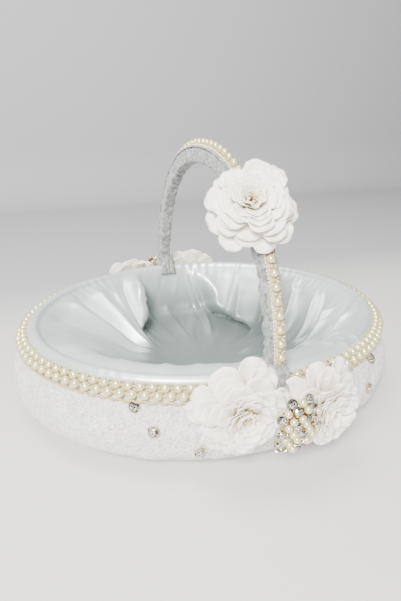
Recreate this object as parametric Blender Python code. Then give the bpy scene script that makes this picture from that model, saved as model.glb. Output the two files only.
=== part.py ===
"""Flower girl basket: padded oval body, gathered lining, two pearl rows, fixed arch handle,
five fabric flowers, two brooches and scattered rhinestones.

Lengths are metres.  X is the long axis, -Y the decorated front, +Z up, and the origin is the
centre of the flat underside.  Every body stands clear of its neighbours by CLEAR or more.
"""
import math
import bpy
from mathutils import Matrix, Vector

MM = 0.001
CLEAR = 0.30 * MM            # least gap between neighbouring bodies

# --- driving sizes -------------------------------------------------------------------------
RING_A = 131.8 * MM          # half length of the upper pearl ring
RING_B = 111.3 * MM          # half width of the upper pearl ring
RIM_Z = 56.0 * MM            # height of the rim hoop above the table
BULGE = 8.6 * MM             # how far the padding swells beyond the upper pearl ring
PEARL_D = 5.4 * MM           # rim pearls
PEARL_PITCH = 7.0 * MM       # along each row
HANDLE_H = 173.6 * MM        # top of the velvet arch above the table
HANDLE_W = 9.0 * MM          # width of the arch along X
HANDLE_T = 10.5 * MM         # depth of the arch, outer face to inner face
HANDLE_PEARL_D = 5.0 * MM    # pearls along the arch
FLOWER_D = 54.0 * MM         # outer petals, tip to tip
BROOCH_D = 24.0 * MM         # pearl and crystal cluster
BROOCH_REACH = 0.67          # its stand beyond the flowers' seats, in flower radii
STONE_D = 5.8 * MM           # single rhinestones

# --- sizes that follow ---------------------------------------------------------------------
CLOTH = 1.0 * MM             # velvet, satin and felt thickness as modelled
WALL = 2.0 * MM              # moulded form
BAND_R = 3.2 * MM            # rolled satin edge
HOOP_R = BAND_R - 1.4 * MM - CLEAR
TAPE_T = 0.8 * MM
SEG = 40                     # facets round the oval
ARCH_STEPS = 30
ARCH_POWER = 2.18            # a shade squarer than an ellipse
SEED_R = 0.9 * MM

bpy.ops.object.select_all(action="DESELECT")
for old in list(bpy.data.objects):
    bpy.data.objects.remove(old, do_unlink=True)

PALETTE = {
    "velvet": ((0.90, 0.89, 0.86), 0.9, 0.0),
    "satin": ((0.80, 0.84, 0.86), 0.35, 0.0),
    "pearl": ((0.90, 0.86, 0.74), 0.2, 0.0),
    "braid": ((0.80, 0.74, 0.55), 0.6, 0.0),
    "board": ((0.62, 0.55, 0.44), 0.9, 0.0),
    "foam": ((0.93, 0.92, 0.88), 1.0, 0.0),
    "felt": ((0.92, 0.91, 0.88), 1.0, 0.0),
    "wood": ((0.66, 0.50, 0.33), 0.7, 0.0),
    "petal": ((0.94, 0.93, 0.89), 0.6, 0.0),
    "stamen": ((0.86, 0.76, 0.52), 0.4, 0.0),
    "gold": ((0.83, 0.70, 0.42), 0.25, 1.0),
    "crystal": ((0.92, 0.94, 0.96), 0.05, 0.0),
}
shades = {}


def shade(name):
    if name not in shades:
        colour, rough, metal = PALETTE[name]
        mat = bpy.data.materials.new(name)
        mat.use_nodes = True
        bsdf = mat.node_tree.nodes["Principled BSDF"]
        bsdf.inputs["Base Color"].default_value = (*colour, 1.0)
        bsdf.inputs["Roughness"].default_value = rough
        bsdf.inputs["Metallic"].default_value = metal
        mat.diffuse_color = (*colour, 1.0)
        shades[name] = mat
    return shades[name]


def solid(name, verts, faces, mat, smooth=True):
    """One closed body, given its own copy of the named material."""
    mesh = bpy.data.meshes.new(name)
    mesh.from_pydata([tuple(v) for v in verts], [], faces)
    mesh.materials.append(shade(mat).copy())
    mesh.materials[0].name = name
    for poly in mesh.polygons:
        poly.use_smooth = smooth
    mesh.update()
    obj = bpy.data.objects.new(name, mesh)
    bpy.context.collection.objects.link(obj)
    return obj


# --- profiles: lists of (offset from the pearl ring, height), from the base to the rim -----
def normals(points):
    """Unit normals on the outer side of an open profile that runs upwards."""
    out = []
    for i in range(len(points)):
        a = points[max(i - 1, 0)]
        b = points[min(i + 1, len(points) - 1)]
        dx, dz = b[0] - a[0], b[1] - a[1]
        size = math.hypot(dx, dz)
        out.append((dz / size, -dx / size))
    return out


def shifted(points, dist):
    return [(p[0] + n[0] * dist, p[1] + n[1] * dist) for p, n in zip(points, normals(points))]


def band(points, near, far):
    """Closed section between two distances from a profile."""
    return shifted(points, far) + shifted(points, near)[::-1]


def refine(points, steps):
    """Catmull-Rom curve through the points, so the bulge reads as one sweep."""
    out = []
    for i in range(len(points) - 1):
        p0 = points[max(i - 1, 0)]
        p1, p2 = points[i], points[i + 1]
        p3 = points[min(i + 2, len(points) - 1)]
        for k in range(steps):
            t = k / steps
            out.append(tuple(
                0.5 * (2 * b + (c - a) * t + (2 * a - 5 * b + 4 * c - d) * t * t
                       + (3 * b - a - 3 * c + d) * t ** 3)
                for a, b, c, d in zip(p0, p1, p2, p3)))
    out.append(points[-1])
    return out


def from_top(points, dist):
    """Point and outward normal at a distance down the profile from its upper end."""
    back = points[::-1]
    for a, b in zip(back, back[1:]):
        step = math.hypot(b[0] - a[0], b[1] - a[1])
        if dist <= step:
            t = dist / step
            spot = (a[0] + (b[0] - a[0]) * t, a[1] + (b[1] - a[1]) * t)
            return spot, ((a[1] - b[1]) / step, (b[0] - a[0]) / step)
        dist -= step
    raise ValueError("past the end of the profile")


def offset_at(points, height):
    """Widest offset of a profile at a height."""
    best = None
    for a, b in zip(points, points[1:]):
        low, high = sorted((a[1], b[1]))
        if low <= height <= high and high > low:
            t = (height - a[1]) / (b[1] - a[1])
            value = a[0] + (b[0] - a[0]) * t
            best = value if best is None else max(best, value)
    return best


def level(f):
    """Height at a fraction of the depth between the board and the rim."""
    return 4.0 * MM + (RIM_Z - 4.0 * MM) * f


SWELL = BULGE / 8.6
COVER = refine([(-12.5 * MM, 1.1 * MM), (-5.0 * SWELL, 3.5 * MM), (1.8 * SWELL, level(0.09)),
                (6.6 * SWELL, level(0.24)), (8.6 * SWELL, level(0.42)),
                (8.0 * SWELL, level(0.60)), (5.6 * SWELL, level(0.745)),
                (1.65 * MM, level(0.84)), (-3.8 * MM, level(0.955))], 1)
COVER = [(-22.0 * MM, 1.1 * MM)] + COVER
FORM = [(-17.0 * MM, 4.4 * MM), (-10.5 * MM, level(0.065)), (-5.0 * MM, level(0.18)),
        (-2.4 * MM, level(0.35)), (-2.0 * MM, level(0.54)), (-3.2 * MM, level(0.75)),
        (-5.4 * MM, RIM_Z - BAND_R - CLEAR)]
BAND_AT = (-6.6 * MM, RIM_Z)


def oval(offset, height, turn):
    return Vector(((RING_A + offset) * math.cos(turn), (RING_B + offset) * math.sin(turn), height))


def hoop(name, section, mat, seg=SEG):
    """Closed section carried round the oval."""
    count = len(section)
    verts = [oval(o, z, 2 * math.pi * i / seg) for i in range(seg) for o, z in section]
    faces = []
    for i in range(seg):
        j = (i + 1) % seg
        for k in range(count):
            m = (k + 1) % count
            faces.append((i * count + k, j * count + k, j * count + m, i * count + m))
    return solid(name, verts, faces, mat)


def dish(name, under, over, mat, seg=SEG):
    """Bowl or disc: two skins from the middle outwards that meet at their last points."""
    rings = under[1:] + over[::-1][:-1]
    count = len(rings)
    verts = [Vector((0, 0, under[0][1])), Vector((0, 0, over[0][1]))]
    verts += [oval(o, z, 2 * math.pi * i / seg) for i in range(seg) for o, z in rings]
    faces = []
    for i in range(seg):
        j = (i + 1) % seg
        a, b = 2 + i * count, 2 + j * count
        faces.append((0, b, a))
        for k in range(count - 1):
            faces.append((a + k, b + k, b + k + 1, a + k + 1))
        faces.append((1, a + count - 1, b + count - 1))
    return solid(name, verts, faces, mat)


def slab(name, offset, low, high, mat):
    cut = 0.25 * (high - low)
    dish(name, [(0, low), (offset - cut, low), (offset, low + cut)],
         [(0, high), (offset - cut, high), (offset, high - cut)], mat)


def lathe(name, profile, mat, place, seg=8):
    """Solid of revolution: profile (radius, height) from the lower pole to the upper pole."""
    rings = profile[1:-1]
    count = len(rings)
    verts = [Vector((0, 0, profile[0][1])), Vector((0, 0, profile[-1][1]))]
    for i in range(seg):
        turn = 2 * math.pi * i / seg
        verts += [Vector((r * math.cos(turn), r * math.sin(turn), h)) for r, h in rings]
    faces = []
    for i in range(seg):
        a, b = 2 + i * count, 2 + (i + 1) % seg * count
        faces.append((0, b, a))
        for k in range(count - 1):
            faces.append((a + k, b + k, b + k + 1, a + k + 1))
        faces.append((1, a + count - 1, b + count - 1))
    return solid(name, [place @ v for v in verts], faces, mat)


def frame_at(origin, axis):
    """Placement whose local Z runs along axis and whose local Y keeps close to world up."""
    z = Vector(axis).normalized()
    up = Vector((0, 0, 1)) if abs(z.z) < 0.95 else Vector((0, 1, 0))
    x = up.cross(z).normalized()
    y = z.cross(x)
    turn = Matrix((x, y, z)).transposed().to_4x4()
    return Matrix.Translation(origin) @ turn


# --- the body: cover, board, form, foam, lining --------------------------------------------
def build_body():
    slab("base_cover", -13.5 * MM, 0.0, 0.8 * MM, "felt")
    hoop("velvet_cover", band(COVER, -CLOTH, 0.0), "velvet")
    slab("base_board", -15.8 * MM, 2.1 * MM + CLEAR, 4.1 * MM, "board")
    hoop("basket_form", band(FORM, -WALL, 0.0), "board")
    inner = shifted(FORM, CLEAR * 1.2)
    outer = [p for p in shifted(COVER, -CLOTH - CLEAR * 1.5)
             if p[1] > 4.6 * MM and p[0] > -12.0 * MM and p[1] < RIM_Z - 5.4 * MM]
    hoop("foam_padding", outer + inner[1:-1][::-1], "foam")
    skin = shifted(FORM, -WALL - CLEAR)
    under = skin[1:]
    over = shifted(skin, -CLOTH)[1:]
    foot = min(p[1] for p in under)
    under = [(0, foot), (under[0][0] - 6.0 * MM, foot)] + under
    over = [(0, foot + CLOTH), (under[1][0], foot + CLOTH)] + over
    dish("satin_lining", under, over, "satin")
    slab("floor_pad", -19.8 * MM, 4.1 * MM + CLEAR, foot - CLEAR, "foam")


def build_rim():
    def ring(radius, count, start, stop):
        turns = [start + (stop - start) * k / (count - 1) for k in range(count)]
        return [(BAND_AT[0] + radius * math.cos(t), BAND_AT[1] + radius * math.sin(t)) for t in turns]

    full = [(BAND_AT[0] + HOOP_R * math.cos(t), BAND_AT[1] + HOOP_R * math.sin(t))
            for t in [math.pi / 3 * k for k in range(6)]]
    hoop("rim_hoop", full, "wood")
    start, stop = math.radians(-62), math.radians(242)
    roll = ring(BAND_R, 8, start, stop) + ring(HOOP_R + CLEAR * 1.5, 6, start, stop)[::-1]
    hoop("lining_band", roll, "satin")


ROW_GAP = 0.85 * PEARL_D     # distance between the two rows, so that staggered pearls nest
FIRST_ROW = 0.8 * MM


def row_spot(extra):
    spot, out = from_top(COVER, FIRST_ROW + extra)
    rise = CLEAR * 2 + TAPE_T + PEARL_D / 2
    return spot[0] + out[0] * rise, spot[1] + out[1] * rise


def pearl_rows():
    """Two staggered strings on a braid tape laid on the slope below the rim."""
    first, second = row_spot(0.0), row_spot(ROW_GAP)
    shove = BAND_AT[0] + BAND_R + PEARL_D / 2 + CLEAR - first[0]
    if shove > 0:
        _, out = from_top(COVER, FIRST_ROW)
        down = (out[1], -out[0])
        first = (first[0] + down[0] * shove / down[0], first[1] + down[1] * shove / down[0])
        second = (second[0] + shove, second[1] + down[1] * shove / down[0])
    return first, second


def build_pearls():
    first, second = pearl_rows()
    length = math.pi * (3 * (RING_A + RING_B)
                        - math.sqrt((3 * RING_A + RING_B) * (RING_A + 3 * RING_B)))
    count = int(round(length / PEARL_PITCH))
    for name, spot, lag in (("pearl_row_upper", first, 0.0), ("pearl_row_lower", second, 0.5)):
        turns = even_turns(spot[0], count * 2, lag * 2)
        verts, faces = [], []
        sides = 5
        for i, turn in enumerate(turns):
            radius = PEARL_D / 2 if i % 2 == 0 else PEARL_D * 0.14
            for k in range(sides):
                t = 2 * math.pi * k / sides
                verts.append(oval(spot[0] + radius * math.cos(t), spot[1] + radius * math.sin(t), turn))
        total = len(turns)
        for i in range(total):
            j = (i + 1) % total
            for k in range(sides):
                m = (k + 1) % sides
                faces.append((i * sides + k, j * sides + k, j * sides + m, i * sides + m))
        solid(name, verts, faces, "pearl")
    low = FIRST_ROW + ROW_GAP + 0.25 * PEARL_D
    line = [from_top(COVER, d)[0] for d in (0.1 * MM, 0.5 * low, low)][::-1]
    hoop("pearl_tape", band(line, CLEAR, CLEAR + TAPE_T), "braid")


def even_turns(offset, count, lag):
    """Angles that part the oval into equal lengths."""
    fine = 2880
    points = [oval(offset, 0, 2 * math.pi * i / fine) for i in range(fine + 1)]
    run = [0.0]
    for a, b in zip(points, points[1:]):
        run.append(run[-1] + (b - a).length)
    out, at = [], 0
    for i in range(count):
        want = run[-1] * ((i + lag) % count) / count
        at = 0 if want < run[at] else at
        while run[at + 1] < want:
            at += 1
        t = (want - run[at]) / (run[at + 1] - run[at])
        out.append(2 * math.pi * (at + t) / fine)
    return out


# --- the handle ----------------------------------------------------------------------------
def rim_top():
    first, _ = pearl_rows()
    return max(first[1] + PEARL_D / 2, RIM_Z + BAND_R)


LEG_Z = rim_top() + 3.4 * MM         # lower end of the arch, on the bridge of the foot wraps
WRAP_Z = LEG_Z + 5.2 * MM            # top of the foot wraps
ARCH_Z = RIM_Z - 5.0 * MM            # springing line of the arch
ARCH_B = RING_B + 4.5 * MM


def arch_point(turn):
    c, s = math.cos(turn), math.sin(turn)
    y = ARCH_B * math.copysign(abs(c) ** (2 / ARCH_POWER), c)
    return Vector((0, y, ARCH_Z + (HANDLE_H - ARCH_Z) * abs(s) ** (2 / ARCH_POWER)))


def arch(low, steps):
    """Outer-face points and outward normals, evenly spaced, from the front foot to the back."""
    fine = [arch_point(math.pi - math.pi * i / 1800) for i in range(1801)]
    fine = [p for p in fine if p.z >= low]
    run = [0.0]
    for a, b in zip(fine, fine[1:]):
        run.append(run[-1] + (b - a).length)
    spots, at = [], 0
    for i in range(steps + 1):
        want = run[-1] * i / steps
        while at < len(fine) - 2 and run[at + 1] < want:
            at += 1
        t = (want - run[at]) / (run[at + 1] - run[at])
        spots.append(fine[at].lerp(fine[at + 1], t))
    outs = []
    for i in range(len(spots)):
        along = spots[min(i + 1, steps)] - spots[max(i - 1, 0)]
        outs.append(Vector((0, -along.z, along.y)).normalized())
    return spots, outs, run[-1]


def box_loop(half, low, high, cut):
    """Chamfered rectangle: (x, depth below the outer face)."""
    return [(-half + cut, low), (half - cut, low), (half, low + cut), (half, high - cut),
            (half - cut, high), (-half + cut, high), (-half, high - cut), (-half, low + cut)]


def along_arch(name, low, outer, mat, inner=None, steps=ARCH_STEPS):
    spots, outs, _ = arch(low, steps)
    count = len(outer)
    loops = outer + (inner or [])
    wide = len(loops)
    verts = []
    for spot, out in zip(spots, outs):
        verts += [spot - out * d + Vector((x, 0, 0)) for x, d in loops]
    faces = []
    for i in range(steps):
        a, b = i * wide, (i + 1) * wide
        for k in range(count):
            m = (k + 1) % count
            faces.append((a + k, a + m, b + m, b + k))
            if inner:
                p, q = count + k, count + m
                faces.append((a + q, a + p, b + p, b + q))
    end = steps * wide
    if inner:
        for k in range(count):
            m = (k + 1) % count
            faces.append((k, count + k, count + m, m))
            faces.append((end + m, end + count + m, end + count + k, end + k))
    else:
        faces.append(tuple(range(count))[::-1])
        faces.append(tuple(end + k for k in range(count)))
    return solid(name, verts, faces, mat)


def beads_on_arch(name, low, x, depth, radius, pitch, sides, mat):
    _, _, length = arch(low, 4)
    count = int(round(length / pitch))
    spots, outs, _ = arch(low, count * 2)
    verts, faces = [], []
    for i, (spot, out) in enumerate(zip(spots, outs)):
        size = radius if i % 2 == 1 else radius * 0.3
        middle = spot - out * depth + Vector((x, 0, 0))
        for k in range(sides):
            t = 2 * math.pi * (k + 0.5) / sides
            verts.append(middle + Vector((1, 0, 0)) * size * math.cos(t) + out * size * math.sin(t))
    total = len(spots)
    for i in range(total - 1):
        for k in range(sides):
            m = (k + 1) % sides
            faces.append((i * sides + k, (i + 1) * sides + k, (i + 1) * sides + m, i * sides + m))
    faces.append(tuple(range(sides)))
    faces.append(tuple((total - 1) * sides + k for k in range(sides))[::-1])
    solid(name, verts, faces, mat)


def build_handle():
    half, skin = HANDLE_W / 2, 0.9 * MM
    core = skin + CLEAR
    along_arch("handle_core", LEG_Z, box_loop(half - core, core, HANDLE_T - core, 1.0 * MM), "wood")
    along_arch("handle_sleeve", LEG_Z, box_loop(half, 0.0, HANDLE_T, 1.5 * MM), "velvet",
               box_loop(half - skin, skin, HANDLE_T - skin, 1.2 * MM))
    low = WRAP_Z + 0.8 * MM
    tape = half - 0.2 * MM
    face = -CLEAR - TAPE_T
    along_arch("handle_tape", low, [(-tape, face), (tape, face), (tape, -CLEAR), (-tape, -CLEAR)], "braid")
    bead = HANDLE_PEARL_D / 2
    beads_on_arch("handle_pearls", low, 0.0, face - CLEAR - bead, bead, HANDLE_PEARL_D * 1.5, 5, "pearl")
    side = bead + SEED_R + 0.1 * MM
    for name, x in (("handle_seed_left", -side), ("handle_seed_right", side)):
        beads_on_arch(name, low, x, face - CLEAR - SEED_R, SEED_R, 6.4 * MM, 4, "pearl")


def build_wrap(name, front):
    """Gathered velvet saddle over the rim, with a socket above for the leg of the arch."""
    first, second = pearl_rows()
    gap = 0.5 * MM
    pr = PEARL_D / 2 + gap
    br = BAND_R + gap
    sock = HANDLE_T + 2 * CLEAR
    leg, outs, _ = arch(LEG_Z, ARCH_STEPS)
    face = abs(leg[0].y) - RING_B + CLEAR * 1.5
    slant = abs(leg[0].y - leg[1].y) / abs(leg[0].z - leg[1].z) * (WRAP_Z - LEG_Z)
    bridge = leg[0].z - max(outs[0].z, 0.0) * HANDLE_T - 2 * CLEAR
    sag = 0.8 * MM               # the rim is faceted, so it stands in a little from the true oval
    reach = second[0] + pr
    inside = BAND_AT[0] - br - sag
    section = [(inside - 3.0 * MM, RIM_Z - 9.0 * MM), (inside, RIM_Z - 9.0 * MM),
               (inside, RIM_Z), (inside + br * 0.3, RIM_Z + br * 0.8),
               (BAND_AT[0], rim_top() + gap), (first[0], rim_top() + gap),
               (first[0] + pr * 0.8, first[1] + pr * 0.75),
               (second[0] + pr * 0.8, second[1] + pr * 0.75), (reach, second[1]),
               (reach + 0.4 * MM, second[1] - 6.0 * MM), (reach + 3.0 * MM, second[1] - 6.0 * MM),
               (reach + 3.4 * MM, second[1] + 1.0 * MM), (reach + 1.6 * MM, bridge + 1.0 * MM),
               (face + 2.2 * MM, WRAP_Z), (face - sock - 2.6 * MM - slant, WRAP_Z),
               (inside - 2.2 * MM, bridge), (inside - 3.3 * MM, RIM_Z)]
    half = HANDLE_W / 2 + CLEAR
    wide = half + 3.0 * MM
    last = len(section)
    verts = [(x, RING_B + o, z) for x in (-wide, wide) for o, z in section]
    near, far = face, face - sock - slant
    for o in (near, far):
        for x in (-half, half):
            verts += [(x, RING_B + o, WRAP_Z), (x, RING_B + o, bridge)]
    n0, n1, n2, n3, f0, f1, f2, f3 = range(2 * last, 2 * last + 8)
    top_near, top_far = 13, 14
    faces = [tuple(range(last))[::-1], tuple(range(last, 2 * last))]
    for k in range(last):
        if k != top_near:
            m = (k + 1) % last
            faces.append((k, m, last + m, last + k))
    a, b, c, d = top_near, top_near + last, top_far + last, top_far
    faces += [(a, n0, n2, b), (b, n2, f2, c), (c, f2, f0, d), (d, f0, n0, a)]
    faces += [(n0, n1, n3, n2), (n2, n3, f3, f2), (f2, f3, f1, f0), (f0, f1, n1, n0), (n1, f1, f3, n3)]
    sign = -1 if front else 1
    verts = [(x * sign, y * sign, z) for x, y, z in verts]
    wrap = solid(name, verts, faces, "velvet")
    face_out(wrap)


def face_out(obj):
    """Turn every face outwards."""
    bpy.context.view_layer.objects.active = obj
    obj.select_set(True)
    bpy.ops.object.mode_set(mode="EDIT")
    bpy.ops.mesh.select_all(action="SELECT")
    bpy.ops.mesh.normals_make_consistent(inside=False)
    bpy.ops.object.mode_set(mode="OBJECT")
    obj.select_set(False)


# --- flowers, brooches, stones -------------------------------------------------------------
def whorl(name, place, petals, reach, root, rise, curl, phase, mat):
    """Ring of overlapping round petals as one scalloped dish."""
    per = 3
    cols = petals * per
    stops = ((0.5, 0.35), (1.0, 1.0))
    rings = []
    for f, lift in stops:
        ring = []
        for i in range(cols):
            notch = 0.13 if i % per == 0 else 0.0
            r = reach * f * (1 - notch * f)
            wave = curl * (0.5 if i % per == 0 else -0.25) * f
            t = phase + 2 * math.pi * i / cols
            ring.append((r * math.cos(t), r * math.sin(t), root + rise * lift + wave))
        rings.append(ring)
    skin = 0.8 * MM
    verts = [(0, 0, root), (0, 0, root + skin)]
    for ring in rings:
        verts += ring
    for ring in rings[::-1]:
        verts += [(x, y, z + skin) for x, y, z in ring]
    levels = 2 * len(rings)
    faces = []
    for i in range(cols):
        j = (i + 1) % cols
        faces.append((0, 2 + j, 2 + i))
        for k in range(levels - 1):
            a, b = 2 + k * cols, 2 + (k + 1) * cols
            faces.append((a + i, a + j, b + j, b + i))
        last = 2 + (levels - 1) * cols
        faces.append((1, last + i, last + j))
    solid(name, [place @ Vector(v) for v in verts], faces, mat)


def build_flower(tag, hub, axis, size=1.0, turn=0.0):
    """Felt disc, three whorls and a button of stamens, stacked along the flower's axis."""
    place = frame_at(hub, axis) @ Matrix.Rotation(turn, 4, "Z")
    reach = FLOWER_D / 2 * size
    pad = 7.0 * MM * size
    lathe(f"{tag}_backing", [(0, 0), (pad * 0.9, 0), (pad, 0.5 * MM), (pad * 0.9, 1.0 * MM), (0, 1.0 * MM)],
          "felt", place, 12)
    whorl(f"{tag}_outer_petals", place, 9, reach, 1.5 * MM, 0.27 * reach, 1.6 * MM, 0.0, "petal")
    whorl(f"{tag}_middle_petals", place, 7, reach * 0.78, 4.4 * MM, 0.38 * reach, 1.2 * MM, 0.3, "petal")
    whorl(f"{tag}_inner_petals", place, 5, reach * 0.52, 7.2 * MM, 0.30 * reach, 1.0 * MM, 0.7, "petal")
    top = 7.2 * MM + 0.8 * MM + CLEAR
    button = 0.15 * reach
    lathe(f"{tag}_stamens", [(0, top + 0.6 * MM), (button * 0.6, top + 1.8 * MM), (button, top + 3.6 * MM),
                             (button * 0.55, top + 5.6 * MM), (0, top + 6.0 * MM)], "stamen", place, 8)


def body_face(x, front, height=None):
    """Y of the widest part of the velvet body at x, or of its surface at a height."""
    bulge = max(o for o, _ in COVER) if height is None else offset_at(COVER, height)
    _, second = pearl_rows()
    if height is None:
        bulge = max(bulge, second[0] + PEARL_D / 2)
    y = (RING_B + bulge) * math.sqrt(1 - (x / (RING_A + bulge)) ** 2)
    return -y if front else y


def tilted(azimuth, rise):
    """Unit vector: azimuth in degrees from -Y towards +X, rise in degrees."""
    a, e = math.radians(azimuth), math.radians(rise)
    return Vector((math.sin(a) * math.cos(e), -math.cos(a) * math.cos(e), math.sin(e)))


def build_cluster(tag, spot, axis, back):
    """Brooch: plate with a stem that reaches the basket, and a domed bed of pearls and stones."""
    place = frame_at(spot, axis)
    r = BROOCH_D / 2
    lathe(f"{tag}_plate", [(0, -back), (0.9 * MM, -back), (1.0 * MM, -1.2 * MM), (r * 0.7, -1.0 * MM),
                           (r * 0.75, 0.0), (0, 0.0)], "gold", place, 10)
    cols, verts = 20, [(0, 0, CLEAR), (0, 0, 0.36 * BROOCH_D)]
    rings = ((0.70, CLEAR, 0), (1.0, 0.10 * BROOCH_D, 1), (0.84, 0.24 * BROOCH_D, 0), (0.45, 0.33 * BROOCH_D, 1))
    for f, h, odd in rings:
        for i in range(cols):
            bump = 1.0 + (0.10 if (i + odd) % 2 else -0.06) * (1 if h > CLEAR else 0)
            t = 2 * math.pi * i / cols
            verts.append((r * f * bump * math.cos(t), r * f * bump * math.sin(t), h * (bump if h > CLEAR else 1)))
    faces = []
    for i in range(cols):
        j = (i + 1) % cols
        faces.append((0, 2 + j, 2 + i))
        for k in range(len(rings) - 1):
            a, b = 2 + k * cols, 2 + (k + 1) * cols
            faces.append((a + i, a + j, b + j, b + i))
        last = 2 + (len(rings) - 1) * cols
        faces.append((1, last + i, last + j))
    solid(f"{tag}_cluster", [place @ Vector(v) for v in verts], faces, "pearl", smooth=False)


def build_groups():
    reach = FLOWER_D / 2
    side = reach + 1.0 * MM
    for tag, front, left_z, right_z in (("front", True, 50.5, 43.0), ("back", False, 38.0, 35.0)):
        sign = 1 if front else -1
        for name, x, z, azimuth, rise, turn, size in (
                ("left", -side, left_z * MM, -8, 7, 0.2, 1.0),
                ("right", side + 2.0 * MM, right_z * MM, 15, 8, 0.9, 0.96)):
            lean = tilted(azimuth, rise)
            face = body_face(x, True)
            dip = 7.0 * MM * (math.sin(math.radians(rise)) + abs(math.sin(math.radians(azimuth - x / MM * 0.4))))
            hub = Vector((x, face - CLEAR - dip - 0.4 * MM, z * (RIM_Z / (56.0 * MM))))
            if not front:
                hub = Vector((-hub.x, -hub.y, hub.z))
                lean = Vector((-lean.x, -lean.y, lean.z))
            build_flower(f"{tag}_{name}_flower", hub, lean, size, turn)
        z = (46.0 if front else 45.0) * MM * (RIM_Z / (56.0 * MM))
        face = body_face(0.0, True)
        _, second = pearl_rows()
        wrap = -(RING_B + second[0] + PEARL_D / 2 + 0.5 * MM + 3.4 * MM)
        root = min(face, wrap) - CLEAR
        stand = BROOCH_REACH * reach - (body_face(side, True) - body_face(0.0, True))
        spot = Vector((-1.0 * MM * sign, (root - stand) * sign, z))
        axis = Vector((0, -sign, 0))
        build_cluster(f"{tag}_brooch", spot, axis, stand)


def build_handle_flower():
    turn = math.pi - math.radians(180 - 133)
    spot = arch_point(turn)
    ahead = arch_point(turn + 0.01) - arch_point(turn - 0.01)
    out = Vector((0, ahead.z, -ahead.y)).normalized()
    if out.z < 0:
        out = -out
    lean = Vector((-0.25, -0.82, 0.51)).normalized()
    proud = TAPE_T + 3 * CLEAR + HANDLE_PEARL_D
    tilt = math.sin(lean.angle(out))
    hub = spot + out * (proud + 7.0 * MM * tilt + CLEAR) + Vector((-HANDLE_W * 0.55, 0, 0))
    build_flower("handle_flower", hub, lean, 1.08, 0.1)


def build_stones():
    """Single rhinestones on the velvet: angle round the oval and height, each face."""
    spots = ((-0.565, 0.785), (-0.487, 0.575), (-0.322, 0.35), (0.60, 0.775), (0.53, 0.50))
    r = STONE_D / 2
    for tag, front in (("front", True), ("back", False)):
        for number, (across, up) in enumerate(spots, 1):
            height = level(up)
            offset = offset_at(COVER, height)
            a, b = RING_A + offset, RING_B + offset
            x = across * a
            y = -b * math.sqrt(1 - across ** 2)
            lower, upper = offset_at(COVER, height - 1.5 * MM), offset_at(COVER, height + 1.5 * MM)
            slope = (lower - upper) / (3.0 * MM)
            out = Vector((x / a ** 2, y / b ** 2, 0)).normalized() + Vector((0, 0, slope))
            out.normalize()
            spot = Vector((x, y, height)) + out * (CLEAR + 0.06 * r)
            if not front:
                spot = Vector((-spot.x, -spot.y, spot.z))
                out = Vector((-out.x, -out.y, out.z))
            lathe(f"{tag}_rhinestone_{number}",
                  [(0, 0), (0.55 * r, 0), (r, 0.55 * r), (r * 0.95, 0.8 * r), (0.55 * r, 1.1 * r), (0, 1.1 * r)],
                  "crystal", frame_at(spot, out), 8).data.polygons.foreach_set("use_smooth", [False] * 48)


build_body()
build_rim()
build_pearls()
build_handle()
build_wrap("foot_wrap_front", True)
build_wrap("foot_wrap_back", False)
build_handle_flower()
build_groups()
build_stones()
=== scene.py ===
import math
import random
import bpy
import numpy as np
from mathutils import Matrix, Vector
from mathutils.bvhtree import BVHTree


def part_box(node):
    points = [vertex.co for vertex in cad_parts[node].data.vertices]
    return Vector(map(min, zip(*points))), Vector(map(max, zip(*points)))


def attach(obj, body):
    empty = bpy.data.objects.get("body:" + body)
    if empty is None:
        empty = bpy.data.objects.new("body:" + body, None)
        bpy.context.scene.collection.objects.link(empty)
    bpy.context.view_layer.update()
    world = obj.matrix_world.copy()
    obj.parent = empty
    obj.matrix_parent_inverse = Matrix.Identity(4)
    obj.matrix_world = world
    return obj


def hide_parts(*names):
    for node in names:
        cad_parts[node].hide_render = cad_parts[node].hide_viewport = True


# Flower girl basket in metres: X long axis, -Y decorated front, +Z up, underside at z = 0.
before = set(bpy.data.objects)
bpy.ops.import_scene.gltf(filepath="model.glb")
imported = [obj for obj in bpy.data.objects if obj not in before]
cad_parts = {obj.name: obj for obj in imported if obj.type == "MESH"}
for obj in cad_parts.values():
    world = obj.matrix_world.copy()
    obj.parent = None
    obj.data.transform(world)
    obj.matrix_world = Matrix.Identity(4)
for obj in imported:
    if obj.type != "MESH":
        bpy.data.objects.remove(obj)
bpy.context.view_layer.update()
mm = 0.001


def nodeBox(name):
    low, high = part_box(name)
    return Vector(low), Vector(high)


upperHigh = nodeBox("pearl_row_upper")[1]
lowerHigh = nodeBox("pearl_row_lower")[1]
pearlR = 2.7 * mm
pearlPitch = 7.0 * mm
rimZ = 56.0 * mm
ringA = upperHigh.x - pearlR
ringB = 111.3 * mm
lowerOut = lowerHigh.x - upperHigh.x
upperZ = upperHigh.z - pearlR * math.sin(math.radians(72))
lowerZ = lowerHigh.z - pearlR * math.sin(math.radians(72))


# Small helpers
def oval(turn, offset, height):
    return Vector(((ringA + offset) * math.cos(turn), (ringB + offset) * math.sin(turn), height))


def newPiece(name, verts, faces, material, smooth=True):
    mesh = bpy.data.meshes.new(name)
    mesh.from_pydata([tuple(v) for v in verts], [], faces)
    mesh.materials.append(material)
    mesh.polygons.foreach_set("use_smooth", [smooth] * len(mesh.polygons))
    mesh.update()
    obj = bpy.data.objects.new(name, mesh)
    bpy.context.scene.collection.objects.link(obj)
    return obj


def pointAttribute(obj, name, values):
    layer = obj.data.attributes.new(name, "FLOAT", "POINT")
    layer.data.foreach_set("value", [float(v) for v in values])


def bake(obj):
    # Apply what is left on the stack.
    deps = bpy.context.evaluated_depsgraph_get()
    mesh = bpy.data.meshes.new_from_object(obj.evaluated_get(deps), depsgraph=deps)
    obj.modifiers.clear()
    old = obj.data
    obj.data = mesh
    if old.users == 0:
        bpy.data.meshes.remove(old)
    return obj


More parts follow.
